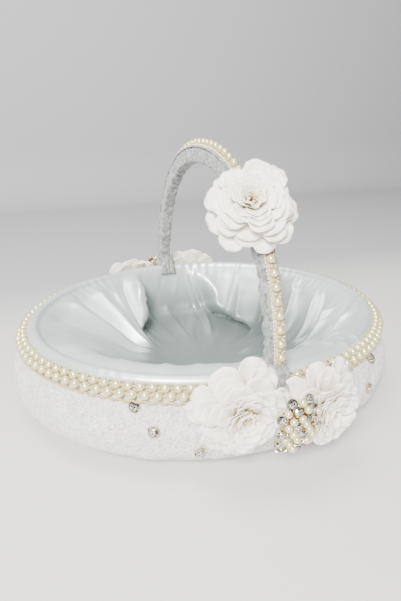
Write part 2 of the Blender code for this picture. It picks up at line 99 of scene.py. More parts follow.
def subdivide(obj, levels=1):
    mod = obj.modifiers.new("smooth", "SUBSURF")
    mod.levels = mod.render_levels = levels
    return bake(obj)


def curveThrough(points, steps):
    # Catmull-Rom samples through (offset, height) pairs.
    out = []
    for i in range(len(points) - 1):
        quad = [points[max(i - 1, 0)], points[i], points[i + 1], points[min(i + 2, len(points) - 1)]]
        for k in range(steps):
            t = k / steps
            out.append(tuple(0.5 * (2 * b + (c - a) * t + (2 * a - 5 * b + 4 * c - d) * t * t
                                    + (3 * b - a - 3 * c + d) * t ** 3) for a, b, c, d in zip(*quad)))
    out.append(points[-1])
    return out


def bump(x, middle, width):
    return math.exp(-((x - middle) / width) ** 2)


def smoothStep(low, high, x):
    t = min(max((x - low) / (high - low), 0.0), 1.0)
    return t * t * (3 - 2 * t)


def superRound(c):
    return math.copysign(abs(c) ** 0.75, c)


def flipTo(obj, way, where):
    # Point an open sheet's faces the given way, judged on some of them.
    total = sum(p.normal.dot(way) * p.area for p in obj.data.polygons if where(p.center))
    if total < 0:
        obj.data.flip_normals()
        obj.data.update()


# Materials
class Shader:  # node material with short calls for the usual links
    def __init__(self, name, colour, rough, **extra):
        self.mat = bpy.data.materials.new(name)
        self.mat.use_nodes = True
        self.nodes = self.mat.node_tree.nodes
        self.links = self.mat.node_tree.links
        self.bsdf = self.nodes["Principled BSDF"]
        self.bsdf.inputs["Base Color"].default_value = (*colour, 1.0)
        self.bsdf.inputs["Roughness"].default_value = rough
        for key, value in extra.items():
            self.bsdf.inputs[key.replace("_", " ")].default_value = value
        self.coords = self.nodes.new("ShaderNodeTexCoord").outputs["Object"]
        self.height = None

    def noise(self, scale, detail=3.0, rough=0.55, stretch=None):
        node = self.nodes.new("ShaderNodeTexNoise")
        node.inputs["Scale"].default_value = scale
        node.inputs["Detail"].default_value = detail
        node.inputs["Roughness"].default_value = rough
        source = self.coords
        if stretch:
            mapping = self.nodes.new("ShaderNodeMapping")
            mapping.inputs["Scale"].default_value = stretch
            self.links.new(source, mapping.inputs["Vector"])
            source = mapping.outputs["Vector"]
        self.links.new(source, node.inputs["Vector"])
        return node.outputs["Fac"]

    def cells(self, scale):
        node = self.nodes.new("ShaderNodeTexVoronoi")
        node.inputs["Scale"].default_value = scale
        self.links.new(self.coords, node.inputs["Vector"])
        return node.outputs["Distance"]

    def attribute(self, name):
        node = self.nodes.new("ShaderNodeAttribute")
        node.attribute_name = name
        return node.outputs["Fac"]

    def ramp(self, fac, stops):
        node = self.nodes.new("ShaderNodeValToRGB")
        ramp = node.color_ramp
        while len(ramp.elements) < len(stops):
            ramp.elements.new(0.5)
        for element, (place, colour) in zip(ramp.elements, stops):
            element.position = place
            element.color = (*colour, 1.0)
        self.links.new(fac, node.inputs["Fac"])
        return node.outputs["Color"]

    def math(self, kind, a, b):
        node = self.nodes.new("ShaderNodeMath")
        node.operation = kind
        for socket, value in zip(node.inputs, (a, b)):
            if isinstance(value, (int, float)):
                socket.default_value = value
            else:
                self.links.new(value, socket)
        return node.outputs[0]

    def mix(self, fac, a, b, blend="MIX"):
        node = self.nodes.new("ShaderNodeMix")
        node.data_type = "RGBA"
        node.blend_type = blend
        for name, value in (("Factor", fac), ("A", a), ("B", b)):
            socket = [s for s in node.inputs if s.name == name
                      and s.type == ("VALUE" if name == "Factor" else "RGBA")][0]
            if isinstance(value, (int, float)):
                socket.default_value = value
            elif isinstance(value, tuple):
                socket.default_value = (*value, 1.0)
            else:
                self.links.new(value, socket)
        return [s for s in node.outputs if s.type == "RGBA"][0]

    def colour(self, source):
        self.links.new(source, self.bsdf.inputs["Base Color"])

    def rough(self, fac, low, high):
        node = self.nodes.new("ShaderNodeMapRange")
        node.inputs["To Min"].default_value = low
        node.inputs["To Max"].default_value = high
        self.links.new(fac, node.inputs["Value"])
        self.links.new(node.outputs["Result"], self.bsdf.inputs["Roughness"])

    def relief(self, source, depth, strength=1.0):
        node = self.nodes.new("ShaderNodeBump")
        node.inputs["Distance"].default_value = depth
        node.inputs["Strength"].default_value = strength
        self.links.new(source, node.inputs["Height"])
        if self.height:
            self.links.new(self.height, node.inputs["Normal"])
        self.height = node.outputs["Normal"]
        self.links.new(self.height, self.bsdf.inputs["Normal"])


def velvetMaterial(name, light, dark, crush):
    s = Shader(name, light, 0.9, Sheen_Weight=0.5, Sheen_Roughness=0.4, Specular_IOR_Level=0.2)
    patches = s.noise(crush, 5.0, 0.65)
    tufts = s.noise(620.0, 4.0, 0.7)
    loops = s.cells(700.0)
    tone = s.ramp(patches, ((0.34, dark), (0.62, light)))
    speck = s.ramp(tufts, ((0.34, (0.54, 0.54, 0.53)), (0.5, (0.86, 0.86, 0.86)), (0.62, (1.0, 1.0, 1.0))))
    s.colour(s.mix(1.0, tone, speck, "MULTIPLY"))
    s.relief(loops, 0.9 * mm, 0.8)
    s.relief(tufts, 1.1 * mm, 0.95)
    s.relief(patches, 1.2 * mm, 0.7)
    return s.mat


def satinMaterial():
    s = Shader("satin", (0.60, 0.67, 0.65), 0.4, Sheen_Weight=0.1, Sheen_Roughness=0.3,
               Metallic=0.4, Specular_IOR_Level=0.7)
    # Painted shade: the depth attribute takes the colour from pale blue-grey at the rim to near-black at the
    # floor. The cloudy noise is the satin's own uneven tone.
    depth = s.attribute("depth")
    tone = s.ramp(depth, ((0.0, (0.72, 0.79, 0.775)), (0.25, (0.58, 0.65, 0.635)), (0.6, (0.38, 0.44, 0.43)),
                          (1.0, (0.215, 0.255, 0.25))))
    cloudy = s.ramp(s.noise(24.0, 3.0), ((0.3, (0.90, 0.90, 0.90)), (0.7, (1.0, 1.0, 1.0))))
    s.colour(s.mix(1.0, tone, cloudy, "MULTIPLY"))
    s.rough(s.noise(60.0, 2.0), 0.33, 0.43)
    s.relief(s.noise(70.0, 3.0, 0.5, (1.0, 1.0, 0.35)), 0.7 * mm, 0.35)
    s.relief(s.noise(3200.0, 1.0, 0.5, (1.0, 1.0, 0.12)), 0.05 * mm, 0.4)
    return s.mat


def pearlMaterial(name, colour):
    s = Shader(name, colour, 0.24, Metallic=0.45, Coat_Weight=1.0, Coat_Roughness=0.04,
               Specular_IOR_Level=0.7)
    tone = s.noise(260.0, 2.0)
    s.colour(s.ramp(tone, ((0.3, tuple(c * 0.93 for c in colour)), (0.75, colour))))
    s.rough(tone, 0.2, 0.3)
    s.relief(s.noise(900.0, 2.0), 0.05 * mm, 0.25)
    return s.mat


def threadMaterial(name, colour):
    s = Shader(name, colour, 0.5, Sheen_Weight=0.3, Specular_IOR_Level=0.6)
    strands = s.noise(2600.0, 2.0, 0.6)
    s.colour(s.ramp(strands, ((0.3, tuple(c * 0.62 for c in colour)), (0.65, colour))))
    s.rough(strands, 0.32, 0.6)
    s.relief(strands, 0.2 * mm, 0.8)
    return s.mat


def petalMaterial():
    s = Shader("chiffonPetal", (0.95, 0.93, 0.87), 0.5, Sheen_Weight=0.1, Sheen_Roughness=0.4,
               Specular_IOR_Level=0.3)
    along = s.attribute("along")
    crepe = s.noise(1300.0, 3.0, 0.6)
    # The cream towards the tip is the chiffon's own colour. The darkening to brown towards the petal's base
    # is painted shade deep in the flower between petals. The crepe noise is the chiffon's own uneven tone.
    tone = s.ramp(along, ((0.0, (0.55, 0.40, 0.19)), (0.3, (0.82, 0.71, 0.49)), (0.62, (0.93, 0.885, 0.77)),
                          (1.0, (0.95, 0.935, 0.885))))
    s.colour(s.mix(s.math("MULTIPLY", crepe, 0.16), tone, (0.86, 0.82, 0.72)))
    s.rough(crepe, 0.42, 0.62)
    s.relief(s.noise(320.0, 2.0), 0.4 * mm, 0.6)
    s.relief(crepe, 0.12 * mm, 0.7)
    return s.mat


def metalMaterial(name, colour, rough):
    s = Shader(name, colour, rough, Metallic=1.0)
    wear = s.noise(900.0, 3.0)
    s.colour(s.ramp(wear, ((0.3, tuple(c * 0.8 for c in colour)), (0.7, colour))))
    s.rough(wear, rough * 0.7, rough * 1.5)
    return s.mat


def crystalMaterial():
    s = Shader("rhinestone", (0.9, 0.92, 0.95), 0.04, Metallic=0.75, Coat_Weight=1.0, Coat_Roughness=0.02)
    # Painted reflection: each facet's tone picks a colour from near-black to bright gold-white, standing in
    # for the dark and bright surroundings it mirrors.
    tone = s.attribute("paintedFacetReflection")
    s.colour(s.ramp(tone, ((0.0, (0.02, 0.02, 0.025)), (0.42, (0.10, 0.10, 0.11)), (0.55, (0.5, 0.51, 0.52)),
                           (0.75, (0.96, 0.97, 0.98)), (1.0, (1.0, 0.94, 0.82)))))
    s.rough(s.noise(400.0, 1.0), 0.03, 0.08)
    return s.mat


def plainCloth(name, colour, scale):
    s = Shader(name, colour, 0.9, Sheen_Weight=0.3)
    weave = s.noise(scale, 3.0, 0.7)
    s.colour(s.ramp(weave, ((0.3, tuple(c * 0.85 for c in colour)), (0.7, colour))))
    s.relief(weave, 0.3 * mm, 0.6)
    return s.mat


velvet = velvetMaterial("velvetIvory", (0.97, 0.965, 0.945), (0.80, 0.79, 0.76), 190.0)
# The handle, its edges, the foot bindings and collars use the ivory velvet with painted shade: the whole tone
# is darkened to grey. The crush blotches are the velvet's own texture.
velvetCrushedShaded = velvetMaterial("velvetCrushedShaded", (0.50, 0.51, 0.50), (0.15, 0.16, 0.157), 260.0)
satin = satinMaterial()
pearl = pearlMaterial("pearlCream", (0.80, 0.71, 0.41))
seed = pearlMaterial("pearlSeed", (0.88, 0.76, 0.47))
braid = threadMaterial("goldThread", (0.62, 0.47, 0.20))
petal = petalMaterial()
gold = metalMaterial("paleGold", (0.86, 0.72, 0.46), 0.22)
crystal = crystalMaterial()
stamenTip = pearlMaterial("stamenTip", (0.84, 0.66, 0.40))
felt = plainCloth("felt", (0.86, 0.85, 0.82), 900.0)
boardSkin = plainCloth("board", (0.55, 0.47, 0.36), 300.0)
print("materials ready")


# Repeats on points
def scatterTree():
    tree = bpy.data.node_groups.new("scatterOnPoints", "GeometryNodeTree")
    face = tree.interface
    for label, kind in (("Geometry", "NodeSocketGeometry"), ("Template", "NodeSocketObject"),
                        ("Finish", "NodeSocketMaterial"), ("Spin", "NodeSocketFloat"),
                        ("Seed", "NodeSocketInt")):
        face.new_socket(label, in_out="INPUT", socket_type=kind)
    face.new_socket("Geometry", in_out="OUTPUT", socket_type="NodeSocketGeometry")
    nodes, links = tree.nodes, tree.links
    given = nodes.new("NodeGroupInput")
    source = nodes.new("GeometryNodeObjectInfo")
    place = nodes.new("GeometryNodeInstanceOnPoints")
    facing = nodes.new("GeometryNodeInputNamedAttribute")
    facing.data_type = "FLOAT_VECTOR"
    facing.inputs["Name"].default_value = "facing"
    size = nodes.new("GeometryNodeInputNamedAttribute")
    size.data_type = "FLOAT"
    size.inputs["Name"].default_value = "size"
    align = nodes.new("FunctionNodeAlignRotationToVector")
    align.axis = "Z"
    spin = nodes.new("FunctionNodeRandomValue")
    spin.data_type = "FLOAT"
    axis = nodes.new("FunctionNodeAxisAngleToRotation")
    turn = nodes.new("FunctionNodeRotateRotation")
    turn.rotation_space = "LOCAL"
    real = nodes.new("GeometryNodeRealizeInstances")
    paint = nodes.new("GeometryNodeSetMaterial")
    out = nodes.new("NodeGroupOutput")

    def valueOf(node, label, kind="outputs"):
        return [s for s in getattr(node, kind) if s.name == label and s.enabled][0]

    links.new(given.outputs["Geometry"], place.inputs["Points"])
    links.new(given.outputs["Template"], source.inputs["Object"])
    links.new(source.outputs["Geometry"], place.inputs["Instance"])
    links.new(valueOf(facing, "Attribute"), align.inputs["Vector"])
    links.new(given.outputs["Spin"], valueOf(spin, "Max", "inputs"))
    links.new(given.outputs["Seed"], valueOf(spin, "Seed", "inputs"))
    links.new(valueOf(spin, "Value"), axis.inputs["Angle"])
    links.new(align.outputs["Rotation"], turn.inputs["Rotation"])
    links.new(axis.outputs["Rotation"], turn.inputs["Rotate By"])
    links.new(turn.outputs["Rotation"], place.inputs["Rotation"])
    links.new(valueOf(size, "Attribute"), place.inputs["Scale"])
    links.new(place.outputs["Instances"], real.inputs["Geometry"])
    links.new(real.outputs["Geometry"], paint.inputs["Geometry"])
    links.new(given.outputs["Finish"], paint.inputs["Material"])
    links.new(paint.outputs["Geometry"], out.inputs["Geometry"])
    return tree


scatter = scatterTree()


def scatterOn(name, template, spots, facings, sizes, finish, spin=6.283, key=1):
    # Copies of a small mesh on points, as one piece.
    verts, faces, smooth, tones = template
    mould = newPiece(name + "Mould", verts, faces, finish, smooth)
    # per-face tones of a template; the rhinestone's carry its painted facet reflections
    if tones:
        layer = mould.data.attributes.new("paintedFacetReflection", "FLOAT", "FACE")
        layer.data.foreach_set("value", tones)
    mesh = bpy.data.meshes.new(name)
    mesh.from_pydata([tuple(s) for s in spots], [], [])
    mesh.attributes.new("size", "FLOAT", "POINT").data.foreach_set("value", [float(v) for v in sizes])
    flat = [float(c) for f in facings for c in f]
    mesh.attributes.new("facing", "FLOAT_VECTOR", "POINT").data.foreach_set("vector", flat)
    obj = bpy.data.objects.new(name, mesh)
    bpy.context.scene.collection.objects.link(obj)
    mod = obj.modifiers.new("scatter", "NODES")
    mod.node_group = scatter
    values = {"Template": mould, "Finish": finish, "Spin": spin, "Seed": key}
    for item in scatter.interface.items_tree:
        if item.in_out == "INPUT" and item.name in values:
            mod[item.identifier] = values[item.name]
    bake(obj)
    old = mould.data
    bpy.data.objects.remove(mould, do_unlink=True)
    bpy.data.meshes.remove(old)
    return obj


def ballTemplate(around, rings, tall=1.0):
    verts = [(0, 0, -tall)]
    for i in range(1, rings):
        a = math.pi * i / rings
        for k in range(around):
            t = 2 * math.pi * k / around
            verts.append((math.sin(a) * math.cos(t), math.sin(a) * math.sin(t), -tall * math.cos(a)))
    verts.append((0, 0, tall))
    top = len(verts) - 1
    faces = [(0, 1 + (k + 1) % around, 1 + k) for k in range(around)]
    for i in range(rings - 2):
        a, b = 1 + i * around, 1 + (i + 1) * around
        faces += [(a + k, a + (k + 1) % around, b + (k + 1) % around, b + k) for k in range(around)]
    last = 1 + (rings - 2) * around
    faces += [(top, last + k, last + (k + 1) % around) for k in range(around)]
    return verts, faces, True, None


def crystalTemplate():
    # Brilliant-cut top in a unit circle, flat facets with random tones for their painted reflections.
    rng = random.Random(11)
    rings = ((1.0, 0.30, 0.0), (0.98, 0.42, 0.0), (0.72, 0.70, 0.5), (0.46, 0.84, 0.0))
    verts = [(0, 0, 0)]
    for r, h, lag in rings:
        verts += [(r * math.cos(math.tau * (k + lag) / 8), r * math.sin(math.tau * (k + lag) / 8), h)
                  for k in range(8)]
    verts.append((0, 0, 0.86))
    faces = [(0, 1 + (k + 1) % 8, 1 + k) for k in range(8)]
    for i in range(len(rings) - 1):
        a, b = 1 + i * 8, 9 + i * 8
        for k in range(8):
            j = (k + 1) % 8
            if i == 0:
                faces.append((a + k, a + j, b + j, b + k))
            elif i == 1:
                faces += [(a + k, a + j, b + k), (a + j, b + j, b + k)]
            else:
                faces += [(a + k, a + j, b + j), (a + k, b + j, b + k)]
    top = len(verts) - 1
    last = 1 + 8 * (len(rings) - 1)
    faces += [(last + k, last + (k + 1) % 8, top) for k in range(8)]
    return verts, faces, False, [rng.random() for _ in faces]


def settingTemplate():
    # Shallow cup with four claws bent over the stone.
    verts, faces = [], []
    rings = ((0.0, -0.25), (0.75, -0.25), (1.10, 0.05), (1.14, 0.42), (1.0, 0.42), (0.96, 0.08), (0.0, -0.05))
    for r, h in rings[1:-1]:
        verts += [(r * math.cos(math.tau * k / 12), r * math.sin(math.tau * k / 12), h) for k in range(12)]
    count = len(rings) - 2
    for i in range(count - 1):
        a, b = i * 12, (i + 1) * 12
        faces += [(a + k, a + (k + 1) % 12, b + (k + 1) % 12, b + k) for k in range(12)]
    faces.append(tuple(range(12))[::-1])
    faces.append(tuple((count - 1) * 12 + k for k in range(12)))
    for q in range(4):
        t = math.tau * (q + 0.5) / 4
        base = len(verts)
        for r, h, w in ((1.16, 0.2, 0.15), (1.14, 0.55, 0.14), (0.78, 0.72, 0.10)):
            for dr, dw in ((0.0, -w), (0.0, w), (-0.14, w), (-0.14, -w)):
                x, y = r + dr, dw
                verts.append((x * math.cos(t) - y * math.sin(t), x * math.sin(t) + y * math.cos(t), h))
        for i in range(2):
            a, b = base + 4 * i, base + 4 * i + 4
            faces += [(a + k, a + (k + 1) % 4, b + (k + 1) % 4, b + k) for k in range(4)]
        faces.append((base + 3, base + 2, base + 1, base))
        faces.append((base + 8, base + 9, base + 10, base + 11))
    return verts, faces, False, None


ball = ballTemplate(16, 10)
smallBall = ballTemplate(8, 6)
flatBall = ballTemplate(10, 6, 0.7)
stoneShape = crystalTemplate()
clawShape = settingTemplate()


def evenTurns(offset, count, lag=0.0):
    fine = 4000
    t = np.linspace(0.0, 2 * math.pi, fine + 1)
    x = (ringA + offset) * np.cos(t)
    y = (ringB + offset) * np.sin(t)
    run = np.concatenate([[0.0], np.cumsum(np.hypot(np.diff(x), np.diff(y)))])
    want = ((np.arange(count) + lag) % count) / count * run[-1]
    return [float(v) for v in np.interp(want, run, t)], float(run[-1])


def outward(turn):
    return Vector((math.cos(turn) / ringA, math.sin(turn) / ringB, 0.0)).normalized()


# Padded velvet body
coverLine = [(-20.0, 1.3), (-12.5, 1.1), (-5.0, 3.5), (1.8, 8.7), (6.6, 16.5), (8.6, 25.8), (8.1, 35.2),
             (5.6, 42.7), (1.65, 47.7), (-3.8, 53.7)]


def buildBody():
    outer = [(o * mm, z * mm) for o, z in curveThrough(coverLine, 5)]
    inner = [(-4.6 * mm, 52.2 * mm), (-2.6 * mm, 44.0 * mm), (-1.4 * mm, 33.0 * mm),
             (-1.8 * mm, 22.0 * mm), (-4.6 * mm, 13.0 * mm), (-10.0 * mm, 6.6 * mm), (-19.0 * mm, 4.6 * mm)]
    section = outer + inner
    around = 160
    count = len(section)
    verts = [oval(2 * math.pi * i / around, o, z) for i in range(around) for o, z in section]
    faces = []
    for i in range(around):
        j = (i + 1) % around
        faces += [(i * count + k, j * count + k, j * count + (k + 1) % count, i * count + (k + 1) % count)
                  for k in range(count)]
    body = newPiece("velvetBody", verts, faces, velvet)
    puff(body)
    wobble(body)
    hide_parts("velvet_cover", "foam_padding")
    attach(body, "root")
    return body


stuffing = {"voxel": 4.5 * mm, "pressure": 4.0, "frames": 20, "cap": 2.0 * mm}


def puff(body):
    # Light pressure on the stretched pile, held at the rim and under the base.
    remesh = body.modifiers.new("remesh", "REMESH")
    remesh.mode = "VOXEL"
    remesh.voxel_size = stuffing["voxel"]
    bake(body)
    start = np.array([v.co[:] for v in body.data.vertices])
    hold = body.vertex_groups.new(name="hold")
    for v in body.data.vertices:
        x, y, z = v.co
        angle = math.atan2(y / ringB, x / ringA)
        reach = math.hypot(x, y) - math.hypot(ringA * math.cos(angle), ringB * math.sin(angle))
        fixed = max(smoothStep(47 * mm, 51 * mm, z), 1 - smoothStep(3 * mm, 7 * mm, z),
                    1 - smoothStep(-1 * mm, 3 * mm, reach))
        hold.add([v.index], max(fixed, 0.02), "REPLACE")
    cloth = body.modifiers.new("cloth", "CLOTH")
    cloth.settings.quality = 5
    cloth.settings.mass = 0.25
    cloth.settings.tension_stiffness = 12
    cloth.settings.compression_stiffness = 10
    cloth.settings.bending_stiffness = 0.3
    cloth.settings.use_pressure = True
    cloth.settings.uniform_pressure_force = stuffing["pressure"]
    cloth.settings.shrink_min = -0.02
    cloth.settings.vertex_group_mass = "hold"
    cloth.settings.effector_weights.gravity = 0.0
    cloth.point_cache.frame_start = 1
    cloth.point_cache.frame_end = stuffing["frames"]
    scene = bpy.context.scene
    for step in range(1, stuffing["frames"] + 1):
        scene.frame_set(step)
    bake(body)
    now = np.array([v.co[:] for v in body.data.vertices])
    move = now - start
    size = np.linalg.norm(move, axis=1)
    scale = np.where(size > stuffing["cap"], stuffing["cap"] / np.maximum(size, 1e-9), 1.0)
    body.data.vertices.foreach_set("co", (start + move * scale[:, None]).ravel())
    scene.frame_set(1)
    body.data.materials.clear()
    body.data.materials.append(velvet)
    body.vertex_groups.clear()
    subdivide(body, 1)
    body.data.polygons.foreach_set("use_smooth", [True] * len(body.data.polygons))
    print("velvet puffed, most movement mm", round(float(size.max()) * 1000, 2))


def wobble(body):
    # Slow hand-padded unevenness on the swollen side.
    for v in body.data.vertices:
        x, y, z = v.co
        turn = math.atan2(y / ringB, x / ringA)
        side = smoothStep(8 * mm, 18 * mm, z) * (1 - smoothStep(40 * mm, 48 * mm, z))
        lump = 0.5 * math.sin(turn * 7 + 1.3) + 0.35 * math.sin(turn * 13 + z * 120)
        lump += 0.2 * math.sin(turn * 29 + z * 260)
        v.co += outward(turn) * lump * side * 0.7 * mm


body = buildBody()
deps = bpy.context.evaluated_depsgraph_get()
bodyTree = BVHTree.FromObject(body, deps)
print("body built")


# Rim: pearls and gold braid
slopeDown = Vector((lowerOut, lowerZ - upperZ)).normalized()
slopeOut = Vector((-slopeDown.y, slopeDown.x))


def rope(name, path, radius, pitch, lobes=2, around=8, closed=True):
    # Twisted cord along a list of points.
    count = len(path)
    verts, faces, run = [], [], 0.0
    for i, spot in enumerate(path):
        ahead = path[(i + 1) % count] if closed or i < count - 1 else spot
        behind = path[i - 1] if closed or i > 0 else spot
        along = (ahead - behind).normalized()
        side = along.cross(Vector((0, 0, 1)))
        side = side.normalized() if side.length > 0.05 else Vector((1, 0, 0))
        up = side.cross(along)
        if i:
            run += (spot - path[i - 1]).length
        spin = 2 * math.pi * run / pitch
        for k in range(around):
            t = 2 * math.pi * k / around
            r = radius * (0.80 + 0.26 * math.cos(lobes * (t - spin / lobes)))
            verts.append(spot + side * r * math.cos(t) + up * r * math.sin(t))
    rings = count if closed else count - 1
    for i in range(rings):
        a, b = i * around, (i + 1) % count * around
        faces += [(a + k, a + (k + 1) % around, b + (k + 1) % around, b + k) for k in range(around)]
    if not closed:
        faces.append(tuple(range(around))[::-1])
        faces.append(tuple((count - 1) * around + k for k in range(around)))
    return newPiece(name, verts, faces, braid)


def buildRows():
    _, length = evenTurns(0.0, 8)
    count = int(round(length / pearlPitch))
    rng = random.Random(5)
    rows = (("pearlRowUpper", "pearl_row_upper", 0.0, upperZ, 0.0),
            ("pearlRowLower", "pearl_row_lower", lowerOut, lowerZ, 0.5))
    for name, node, offset, height, lag in rows:
        turns, _ = evenTurns(offset, count, lag)
        spots = [oval(t, offset + rng.uniform(-0.12, 0.12) * mm, height + rng.uniform(-0.12, 0.12) * mm)
                 for t in turns]
        ways = [Vector((rng.uniform(-1, 1), rng.uniform(-1, 1), rng.uniform(-1, 1))) for _ in turns]
        sizes = [pearlR * rng.uniform(0.985, 1.015) for _ in turns]
        beads = scatterOn(name, ball, spots, ways, sizes, pearl, key=3)
        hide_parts(node)
        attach(beads, "root")
        between, _ = evenTurns(offset, count, lag + 0.5)
        knots = [oval(t, offset - slopeOut.x * 0.6 * mm, height - slopeOut.y * 0.6 * mm) for t in between]
        tied = scatterOn(name + "Knots", flatBall, knots, [outward(t) for t in between],
                         [1.25 * mm] * count, braid, key=4)
        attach(tied, "root")
    samples = count * 8
    # mm along and off the slope between the rows, sway in mm and lag in pearl pitches
    cords = (("braidTop", -2.9, -1.7, 0.35, 0.0), ("braidMiddle", 2.5, -1.3, 0.75, 0.0),
             ("braidLow", 8.0, -1.7, 0.35, 0.5))
    for name, along, lift, wave, lag in cords:
        base = Vector((0.0, upperZ)) + slopeDown * along * mm + slopeOut * lift * mm
        turns, _ = evenTurns(base.x, samples, lag * 8)
        path = []
        for i, t in enumerate(turns):
            sway = wave * mm * math.cos(2 * math.pi * i / 8)
            spot = base - slopeDown * sway
            path.append(oval(t, spot.x, spot.y))
        cord = rope(name, path, 0.85 * mm, 2.6 * mm)
        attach(cord, "root")


buildRows()
bpy.data.objects["pearl_tape"].material_slots[0].material = braid
print("pearl rows built")


# Gathered satin
lining = {"around": 540, "rollSteps": 16, "fallSteps": 62, "thick": 0.45 * mm, "seed": 23}
rollLine = [(-2.5, 55.4), (-2.6, 57.6), (-4.2, 59.7), (-6.8, 60.3), (-9.2, 59.4), (-10.4, 57.2)]
wallLine = [(-10.4, 57.2), (-10.8, 52), (-10.5, 46), (-10, 40), (-9.8, 33.5), (-10, 27), (-11, 21),
            (-13.8, 16), (-19, 12.8), (-28, 11.4), (-45, 11), (-70, 10.8), (-95, 10.7), (-114.9, 10.7)]
slackLine = [(-10.4, 57.2), (-15, 53.0), (-20, 47), (-24.5, 40.5), (-29.5, 33.5), (-34.5, 27), (-40, 21),
             (-46, 16.6), (-54, 13.8), (-64, 12), (-76, 11.2), (-90, 11), (-104, 10.8), (-114.9, 10.7)]
leftLine = [(-10.4, 57.2), (-16.5, 53.5), (-22.5, 48.5), (-29, 43), (-36, 37.5), (-43, 32), (-50, 26),
            (-57, 19.8), (-64, 15), (-72, 12.6), (-82, 11.4), (-92, 11), (-104, 10.8), (-114.9, 10.7)]
puffLine = [(-10.4, 57.2), (-13.5, 57.6), (-18.5, 58.2), (-24, 56.8), (-28.5, 52), (-31.5, 44), (-34, 35),
            (-38, 26.5), (-44, 19.0), (-53, 14.4), (-66, 12), (-84, 11.2), (-102, 10.8), (-114.9, 10.7)]


def evenSamples(line, steps):
    fine = np.array(curveThrough(line, 12))
    run = np.concatenate([[0.0], np.cumsum(np.hypot(*np.diff(fine, axis=0).T))])
    want = np.linspace(0.0, run[-1], steps)
    return np.stack([np.interp(want, run, fine[:, 0]), np.interp(want, run, fine[:, 1])], -1)


def smooth(low, high, x):
    t = np.clip((x - low) / (high - low), 0.0, 1.0)
    return t * t * (3 - 2 * t)


def near(turn, middle, width):
    gap = (turn - middle + 180.0) % 360.0 - 180.0
    return np.exp(-(gap / width) ** 2)


def between(turn, start, stop, soft):
    # 1 from start to stop degrees going up, with soft ends.
    span = (stop - start) % 360.0
    run = (turn - start + soft) % 360.0
    return smooth(0.0, 2 * soft, run) * (1 - smooth(span, span + 2 * soft, run))


def cloudNoise(turn, along, rng, count, pitch, reach):
    # Sum of slanted waves, smooth all the way round.
    total = np.zeros(np.broadcast_shapes(turn.shape, along.shape))
    for _ in range(count):
        k = rng.integers(pitch[0], pitch[1] + 1)
        slant = rng.uniform(-reach, reach)
        phase = rng.uniform(0, 2 * math.pi)
        total += rng.uniform(0.5, 1.0) * np.sin(np.radians(turn) * k + along * slant + phase)
    return total / math.sqrt(count)


def ridge(turn, fall, start, lean, width, low, high):
    # A fold that starts at an angle on the rim and leans as it falls.
    middle = start + lean * fall
    gap = (turn - middle + 180.0) % 360.0 - 180.0
    wide = width * (0.55 + 0.9 * fall)
    shape = np.exp(-np.abs(gap / wide) ** 1.25)
    return shape * smooth(low, low + 0.14, fall) * (1 - smooth(high - 0.2, high, fall))


